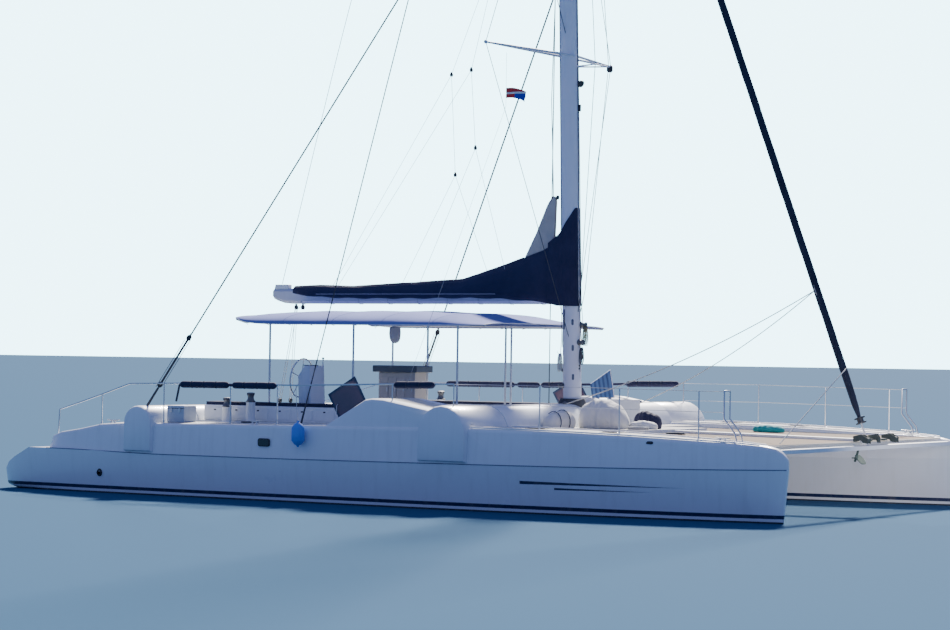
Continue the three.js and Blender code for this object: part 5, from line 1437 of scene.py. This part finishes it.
def pad_radius(x, stretches):
    """Plump between its lacings, round at the ends of each stretch, thin where only the sleeve runs."""
    for start, end in stretches:
        if start <= x <= end:
            near = min(x - start, end - x) / PAD["radius"]
            cap = math.sqrt(max(1 - max(1 - near, 0) ** 2, 0))
            waist = 1 - 0.07 * abs(math.cos(math.pi * (x - start) / PAD["tie"])) ** 6
            return max(PAD["sleeve"], PAD["radius"] * cap * waist)
    return PAD["sleeve"]


def pad_point(sign, stretches):
    start, end = stretches[0][0], stretches[-1][1]

    def place(u, v):
        x = start + (end - start) * v
        turn = 2 * math.pi * u
        crease = 1 + 0.03 * noise.noise(Vector((x * 5, math.cos(turn), math.sin(turn))))
        radius = pad_radius(x, stretches) * crease
        return Vector((x, rail_y(x, sign) + radius * math.cos(turn),
                       along(TOP_LINE, x, 1) - PAD["low"] + radius * math.sin(turn)))
    return place


def closed_tube(across, lengthwise, place):
    """Surface that closes on itself round its section and at both ends."""
    shape = surface(across, lengthwise, place)
    bmesh.ops.remove_doubles(shape, verts=shape.verts, dist=0.0002)
    bmesh.ops.holes_fill(shape, edges=shape.edges, sides=0)
    bmesh.ops.recalc_face_normals(shape, faces=shape.faces)
    return shape


for side, sign in SIDES.items():
    dress(f"guard_rail_{side}", steel, angle=math.radians(50))
    bases = [placed(turned(STANCHION_BASE, 16), (x, rail_y(x, sign), deck_z(x) - 0.002))
             for x in STANCHIONS]
    as_piece(f"stanchion_bases_{side}", joined(bases), steel, "root")
for side, part, stretches in PADS:
    pad = as_piece(f"leaning_pad_{side}_{part}", closed_tube(20, 160, pad_point(SIDES[side], stretches)),
                   navy_cloth, "root", (f"rail_pad_{side}_{part}",), angle=math.radians(70))
laces = []
for side, part, stretches in PADS:
    for start, end in stretches:
        for i in range(1, round((end - start) / PAD["tie"])):
            x = start + PAD["tie"] * i
            laces.append([(x, rail_y(x, SIDES[side]) + PAD["lace"] * math.cos(a),
                           along(TOP_LINE, x, 1) - PAD["low"] + PAD["lace"] * math.sin(a))
                          for a in (k * math.pi / 6 for k in range(13))])
bars_along("pad_lacing", laces, 0.006, dark_rope, "root", sides=1)

# Foredeck locker, bags and deck box
# A moulded locker ahead of the mast with its ribbed lid standing open, soft bags with sails in them, a folded
# cover on the net, coiled ropes, and a grey box on the starboard side deck. The lid's ribs are stripes of
# painted shade, and its outer edge carries a painted highlight.
LID_SHADE_STRIPES = {"pitch": 0.20, "share": 0.55}
LID_HIGHLIGHT_EDGE = 0.335
# The grey box: x of its latches and ends, y of its two sides, heights of its latches and of its seam.
BOX = {"latches": (-5.13, -4.89), "ends": (-5.263, -4.757), "sides": (-5.083, -4.617), "latch_z": 1.94,
       "seam_z": 1.985}
# Bags: share along the bag, x, y, half width, top.
BIG_BAG = [(0.00, 3.33, -1.100, 0.220, 2.070), (0.10, 3.43, -1.090, 0.340, 2.210),
           (0.33, 3.72, -1.060, 0.400, 2.375), (0.58, 4.00, -1.010, 0.450, 2.360),
           (0.80, 4.25, -0.970, 0.430, 2.240), (1.00, 4.48, -0.945, 0.320, 2.000)]
ROLL = [(0.00, 3.24, -2.45, 0.17, 1.98), (0.30, 3.25, -2.10, 0.19, 2.06), (0.65, 3.27, -1.75, 0.20, 2.09),
        (1.00, 3.30, -1.40, 0.18, 2.04)]
NAVY_BAG = [(0.00, 4.30, -0.30, 0.16, 2.02), (0.45, 4.58, -0.32, 0.19, 2.12), (1.00, 4.96, -0.30, 0.16, 1.98)]
FLAKED = [(0.00, 4.42, -0.72, 0.14, 1.85), (0.5, 4.75, -0.70, 0.17, 1.90), (1.00, 5.08, -0.70, 0.13, 1.84)]
FOLDED = [(0.00, 5.68, 2.95, 0.16, 1.76), (0.5, 6.05, 2.90, 0.22, 1.79), (1.00, 6.48, 2.86, 0.15, 1.74)]
SACK_SINK = 0.36
BAG_ANGLE = math.radians(75)
STRAPS = {"at": (0.28, 0.62), "proud": 0.012, "middle": 0.14, "radius": 0.010}


def shaded_lid_finish():
    """Blue lid with darker stripes of painted shade between its ribs, and a painted highlight along its outer
    edge.
    """
    material, tree, shader = finish("locker_lid_painted_light", (0.10, 0.19, 0.36), 0.4)
    place = object_axes(tree)
    # Painted shade: the darker stripes stand for the shade between the lid's ribs.
    wave = compute(tree, "FRACT", compute(tree, "DIVIDE", place["Y"], LID_SHADE_STRIPES["pitch"]))
    shaded_groove = compute(tree, "GREATER_THAN", wave, LID_SHADE_STRIPES["share"])
    colour = blend(tree, shaded_groove, (0.12, 0.22, 0.42, 1), (0.055, 0.11, 0.25, 1))
    # Painted highlight: the white band along the outer edge is where the sun catches it.
    edge = compute(tree, "GREATER_THAN", place["Y"], LID_HIGHLIGHT_EDGE)
    weathered(tree, shader, blend(tree, edge, colour, (0.80, 0.82, 0.86, 1)), 0.4, 0.25, 2.0, 0.05)
    return material


box_grey = plain_finish("deck_box_plastic", (0.44, 0.50, 0.60), 0.5, amount=0.3)
dress("foredeck_locker", deck_gelcoat, bevel=0.012)
dress("locker_lid", shaded_lid_finish(), "locker_lid", bevel=0.006)
dress("deck_box", box_grey, bevel=0.02)
box_trim = [placed(plate(0.06, 0.09, 0.015, 0.02), (x, -5.082, BOX["latch_z"]), (0, -1, 0))
            for x in BOX["latches"]]
as_piece("deck_box_latches", joined(box_trim), steel, "root", bevel=0.003)
box_seam = [[(x, y, BOX["seam_z"]) for x in BOX["ends"]] for y in BOX["sides"]]
bars_along("deck_box_seam", box_seam, 0.006, dark_fitting, "root", sides=1)


def sack(name, rows, floor, material, fold=0.05, replaces=()):
    """Soft bag that lies on a floor, flat below and creased all over."""
    start, end = Vector(rows[0][1:3]), Vector(rows[-1][1:3])
    aim = (end - start).normalized()

    def place(u, v):
        x, y, half, top = (along(rows, v, i) for i in (1, 2, 3, 4))
        turn = 2 * math.pi * u
        near = max((abs(2 * v - 1) - 0.72) / 0.28, 0)
        cap = math.sqrt(max(1 - near * near, 0))
        crease = noise.noise(Vector((x * 6, y * 6, math.cos(turn) * 1.5 + math.sin(turn)))) * 0.6
        crease += noise.noise(Vector((x * 15, y * 15, turn * 1.5))) * 0.4
        size = cap * (1 + fold * crease - abs(fold * math.sin(v * 19)) * 0.5)
        high = (top - floor) * (1 - SACK_SINK)
        out = half * size * math.cos(turn)
        z = floor + (top - floor) * SACK_SINK + high * size * math.sin(turn)
        return Vector((x - aim.y * out, y + aim.x * out, min(max(z, floor + 0.001), top + 0.004)))

    piece = as_piece(name, closed_tube(56, 72, place), material, "root", replaces, BAG_ANGLE)


white_canvas = cloth_finish("white_canvas", (0.80, 0.79, 0.76), (0.68, 0.66, 0.62), 800.0, 0.8, 0.6)
teal_cloth = cloth_finish("teal_cloth", (0.02, 0.30, 0.30), (0.04, 0.36, 0.36), 800.0, 0.8, 0.5)
sack("stowed_sail_bag", BIG_BAG, BRIDGE_TOP, white_canvas, 0.09, replaces=("sail_bag",))
sack("rolled_awning", ROLL, BRIDGE_TOP, white_canvas, 0.07)
sack("navy_gear_bag", NAVY_BAG, BRIDGE_TOP, navy_cloth, 0.10)
sack("flaked_canvas", FLAKED, BRIDGE_TOP, white_canvas, 0.12)
sack("folded_cover", FOLDED, net_height(6.05), teal_cloth, 0.12)
straps = []
for v in STRAPS["at"]:
    x, y, half, top = (along(ROLL, v, i) for i in (1, 2, 3, 4))
    reach = half + STRAPS["proud"]
    rise = top - BRIDGE_TOP - 0.12
    straps.append([(x - reach * math.cos(a), y,
                    max(BRIDGE_TOP + STRAPS["middle"] + rise * math.sin(a), BRIDGE_TOP + 0.004))
                   for a in (k * math.pi / 8 - 0.6 for k in range(12))])
bars_along("awning_straps", straps, STRAPS["radius"], dark_rope, "root", sides=1)


def flat_coil(name, middle, floor, outer, turns, layers, radius, material):
    """Rope laid down in flat rings, each layer on the one below."""
    steps = 18
    total = turns * layers
    route = []
    for i in range(total * steps + 1):
        ring = i / steps
        layer = int(min(ring, total - 0.001) // turns)
        within = (ring - layer * turns) / turns
        share = within if layer % 2 == 0 else 1 - within
        reach = outer - share * turns * radius * 2.1
        step_up = max(within - 0.9, 0) * 10 * (layer < layers - 1)
        rise = floor + radius * (1.05 + 2 * layer) + radius * 1.6 * step_up
        turn = 2 * math.pi * ring
        route.append(Vector((middle[0] + reach * math.cos(turn), middle[1] + reach * math.sin(turn), rise)))
    coil = bars_along(name, [route], radius, material, "root", sides=1)
    length_of(route)


flat_coil("foredeck_coil", (4.85, -1.15), BRIDGE_TOP, 0.24, 5, 3, 0.010, white_rope)
flat_coil("net_coil", (5.75, -1.10), net_height(5.75) + 0.006, 0.22, 5, 2, 0.010, dark_rope)
flat_coil("side_deck_coil", (-3.30, -4.55), deck_z(-3.30), 0.20, 5, 3, 0.008, dark_rope)

# Canopy pouch
# A small bag of grey canvas, slack and rounded below, hung by two ties under the port edge of the canopy.
POUCH = {"x": -4.15, "y": 2.60, "top": 3.985, "wide": 0.34, "high": 0.43, "deep": 0.12}


def pouch_point(u, v):
    turn = 2 * math.pi * u
    full = math.sqrt(max(1 - max((v - 0.55) / 0.45, 0) ** 2.4, 0) * max(1 - max(1 - v / 0.05, 0) ** 2, 0))
    crease = 1 + 0.10 * noise.noise(Vector((math.cos(turn) * 2.2, v * 3.0, math.sin(turn))))
    out = POUCH["wide"] / 2 * full * crease * (0.92 + 0.08 * math.sin(math.pi * v))
    thick = POUCH["deep"] / 2 * full * crease * (0.45 + 0.55 * v)
    return Vector((POUCH["x"] + out * math.cos(turn), POUCH["y"] + thick * math.sin(turn),
                   POUCH["top"] - POUCH["high"] * v - 0.015 * math.sin(math.pi * u * 2) ** 2 * (1 - v)))


grey_canvas = cloth_finish("grey_canvas", (0.22, 0.24, 0.32), (0.17, 0.19, 0.27), 800.0, 0.9, 0.5, 0.0)
pouch = as_piece("canopy_pouch", closed_tube(40, 48, pouch_point), grey_canvas, "root",
                 angle=BAG_ANGLE)
hangers = [[(POUCH["x"] + away, POUCH["y"], POUCH["top"] - 0.03),
            (POUCH["x"] + away, POUCH["y"] + 0.045, CANOPY_EDGE - 0.01)] for away in (-0.10, 0.10)]
bars_along("pouch_ties", hangers, 0.006, white_rope, "root", sides=1)

# Deck gear
# Hatches with tinted panes, steel cleats, winches on pedestals, a blue fender on its line, a small iron
# anchor under the rollers, a bridle from the stay to the starboard bow, a strap that hangs from a pad, and
# the blocks and tackles of the running backstays.
# Hatches: x, size. Cleats: x, share of the deck's half width. Winches: x, y, height of the pedestal.
HATCHES = [(4.35, 0.52), (6.10, 0.46), (-6.55, 0.46)]
MOORING = [(8.75, 0.55), (2.95, 0.80), (-2.60, 0.82), (-6.85, 0.62)]
PRIMARY = [(-3.67, -4.02, 0.48), (-4.35, -4.02, 0.36), (-3.67, 4.02, 0.48), (-4.35, 4.02, 0.36)]
FENDER = {"x": -1.17, "y": -5.63, "low": 1.23}
FENDER_SIDE = [(0, 0), (0.02, 0), (0.03, 0.03), (0.08, 0.06), (0.145, 0.14), (0.145, 0.42), (0.08, 0.51),
               (0.03, 0.54), (0.025, 0.58), (0, 0.58)]
STRAP = {"x": -4.73, "z": 2.54, "radius": 0.026, "points": 14}
# Running backstays: foot, head, heights of their blocks, heights between which their tackles run.
RUNNERS = [((-5.73, -5.25, 1.99), (2.10, -0.10, 17.8), (2.52, 3.60), (2.47, 3.55)),
           ((-5.40, 5.25, 1.84), (2.23, 0.10, 12.6), (2.45, 3.86), (2.40, 3.82))]
for side, sign in SIDES.items():
    frames, panes = [], []
    for x, size in HATCHES:
        at = Vector((x, sign * HULL_Y, deck_z(x) - 0.004))
        frames.append(placed(plate(size, size, 0.07, 0.034), at))
        panes.append(placed(plate(size - 0.09, size - 0.09, 0.05, 0.012), at + Vector((0, 0, 0.030))))
    as_piece(f"hatch_frames_{side}", joined(frames), black_frame, "root", bevel=0.006)
    as_piece(f"hatch_panes_{side}", joined(panes), tinted_pane, "root", bevel=0.002)
    horns = []
    for x, share in MOORING:
        edge = along(DECK_EDGE, x, 1) * share
        at = (x, sign * (HULL_Y + edge), deck_z(x) - 0.002)
        horns.append(placed(sized(cleat_form(), 1.6), at))
    as_piece(f"mooring_cleats_{side}", joined(horns), steel, "root")
stands, drums = [], []
for x, y, tall in PRIMARY:
    deck = deck_z(x)
    profile = [(0, 0), (0.14, 0), (0.14, 0.02), (0.11, 0.05), (0.105, tall - 0.02), (0.12, tall), (0, tall)]
    stands.append(placed(turned(profile), (x, y, deck - 0.004)))
    drums.append(placed(sized(winch_form(), 1.45), (x, y, deck + tall - 0.008)))
as_piece("winch_pedestals", joined(stands), white_paint, "root", angle=math.radians(40))
as_piece("primary_winches", joined(drums), black_drum, "root")
fender_blue = plain_finish("fender_vinyl", (0.085, 0.27, 0.80), 0.35, amount=0.25, scale=6.0)
fender = placed(turned(FENDER_SIDE), (FENDER["x"], FENDER["y"], FENDER["low"]))
as_piece("fender", fender, fender_blue, "root", angle=math.radians(50))
fender_line = [(FENDER["x"], FENDER["y"], FENDER["low"] + 0.57), (-1.45, rail_y(-1.45, -1) - 0.03, 2.10),
               (-1.5, rail_y(-1.5, -1), along(TOP_LINE, -1.5, 1))]
bars_along("fender_line", [fender_line], 0.006, white_rope, "root", sides=1)
iron = plain_finish("galvanised_iron", (0.12, 0.17, 0.15), 0.6, 0.4, amount=0.5, scale=8.0)
shank = placed(plate(0.46, 0.05, 0.015, 0.022), (9.60, 0.011, 1.33), (0, -1, 0), (0.30, 0, 1))
fluke = placed(plate(0.34, 0.26, 0.10, 0.016), (9.66, 0, 1.16), (0.75, 0, 0.66), (0, 1, 0))
stock = placed(turned([(0, -0.2), (0.016, -0.2), (0.016, 0.2), (0, 0.2)], 12), (9.56, 0, 1.20), (0, 1, 0))
as_piece("anchor", joined([shank, fluke, stock]), iron, "root", bevel=0.003)
bridle = [Vector((9.78, -4.25, 1.60)), Vector((9.36, -0.115, 3.12))]
bars_along("bow_bridle", [bridle], 0.011, white_rope, "root")
strap_y = rail_y(STRAP["x"], -1) - 0.03
strap = [Vector((STRAP["x"] - 0.004 * i, strap_y - 0.004 * i, STRAP["z"] - 0.03 * i))
         for i in range(STRAP["points"])]
tail = bars_along("pad_strap", [strap], STRAP["radius"], dark_rope, "root", sides=1)
length_of(strap)


def on_line(start, end, z):
    """Point at a height on the straight line between two points."""
    start, end = Vector(start), Vector(end)
    return start.lerp(end, (z - start.z) / (end.z - start.z))


blocks, parts = [], []
for foot, top, block_levels, rope_levels in RUNNERS:
    lean = (Vector(top) - Vector(foot)).normalized()
    for z in block_levels:
        blocks.append(placed(sized(block_form(), 1.3), on_line(foot, top, z), (0.6, -0.75, 0), lean))
    low, high = (on_line(foot, top, z) for z in rope_levels)
    for away in (-0.06, -0.02, 0.02, 0.06):
        aside = Vector((away, away * 0.5, 0))
        parts.append([low + aside, high + aside])
as_piece("runner_blocks", joined(blocks), dark_fitting, "root", bevel=0.002)
bars_along("runner_tackles", parts, 0.008, grey_rope, "root", sides=1)

# Courtesy flag and spreader lamp
# A small cotton flag in red, white and blue hangs crumpled on its halyard below the starboard spreader. A
# dark lamp housing is fixed near the tip of the port spreader.
FLAG = {"x": 2.00, "y": -1.90, "top": 9.32, "drop": 0.26, "wide": 0.52, "aft": 0.45}
LAMP_SIDE = [(0, 0), (0.05, 0), (0.075, 0.04), (0.075, 0.13), (0.05, 0.16), (0, 0.16)]
LAMP_AT = (1.80, 2.80, 10.12)


def flag_finish():
    material, tree, shader = finish("flag_cotton", (0.7, 0.1, 0.1), 0.9)
    place = object_axes(tree)
    fore = compute(tree, "GREATER_THAN", place["X"], FLAG["x"])
    low = compute(tree, "LESS_THAN", place["Z"], FLAG["top"] - FLAG["drop"] * 0.45)
    cloth = blend(tree, compute(tree, "MULTIPLY", fore, low), (0.75, 0.03, 0.04, 1), (0.01, 0.03, 0.50, 1))
    cross = band(tree, place["Z"], FLAG["top"] - FLAG["drop"] * 0.55, FLAG["top"] - FLAG["drop"] * 0.38)
    colour = blend(tree, cross, cloth, (0.85, 0.85, 0.86, 1))
    weathered(tree, shader, colour, 0.9, 0.2, 4.0, 0.1)
    return material


def flag_point(u, v):
    ripple = 0.05 * math.sin(u * 9 + v * 2) * u + 0.02 * noise.noise(Vector((u * 4, v * 4, 0)))
    sag = 0.16 * u * u + 0.03 * math.sin(5 * v)
    return Vector((FLAG["x"] + (u - FLAG["aft"]) * FLAG["wide"], FLAG["y"] + ripple,
                   FLAG["top"] - FLAG["drop"] * v - sag + 0.05 * u))


flag = as_piece("courtesy_flag", surface(30, 20, flag_point), flag_finish(), "root")
thickened(flag, 0.001)
hoist = FLAG["x"] - FLAG["aft"] * FLAG["wide"]
flag_line = [(hoist, FLAG["y"], 10.12), (hoist, FLAG["y"], 8.9), (1.2, -4.9, 2.66)]
bars_along("flag_halyard", [flag_line], 0.004, white_rope, "root", sides=1)
as_piece("spreader_lamp", placed(turned(LAMP_SIDE, 20), LAMP_AT), dark_fitting, "root")
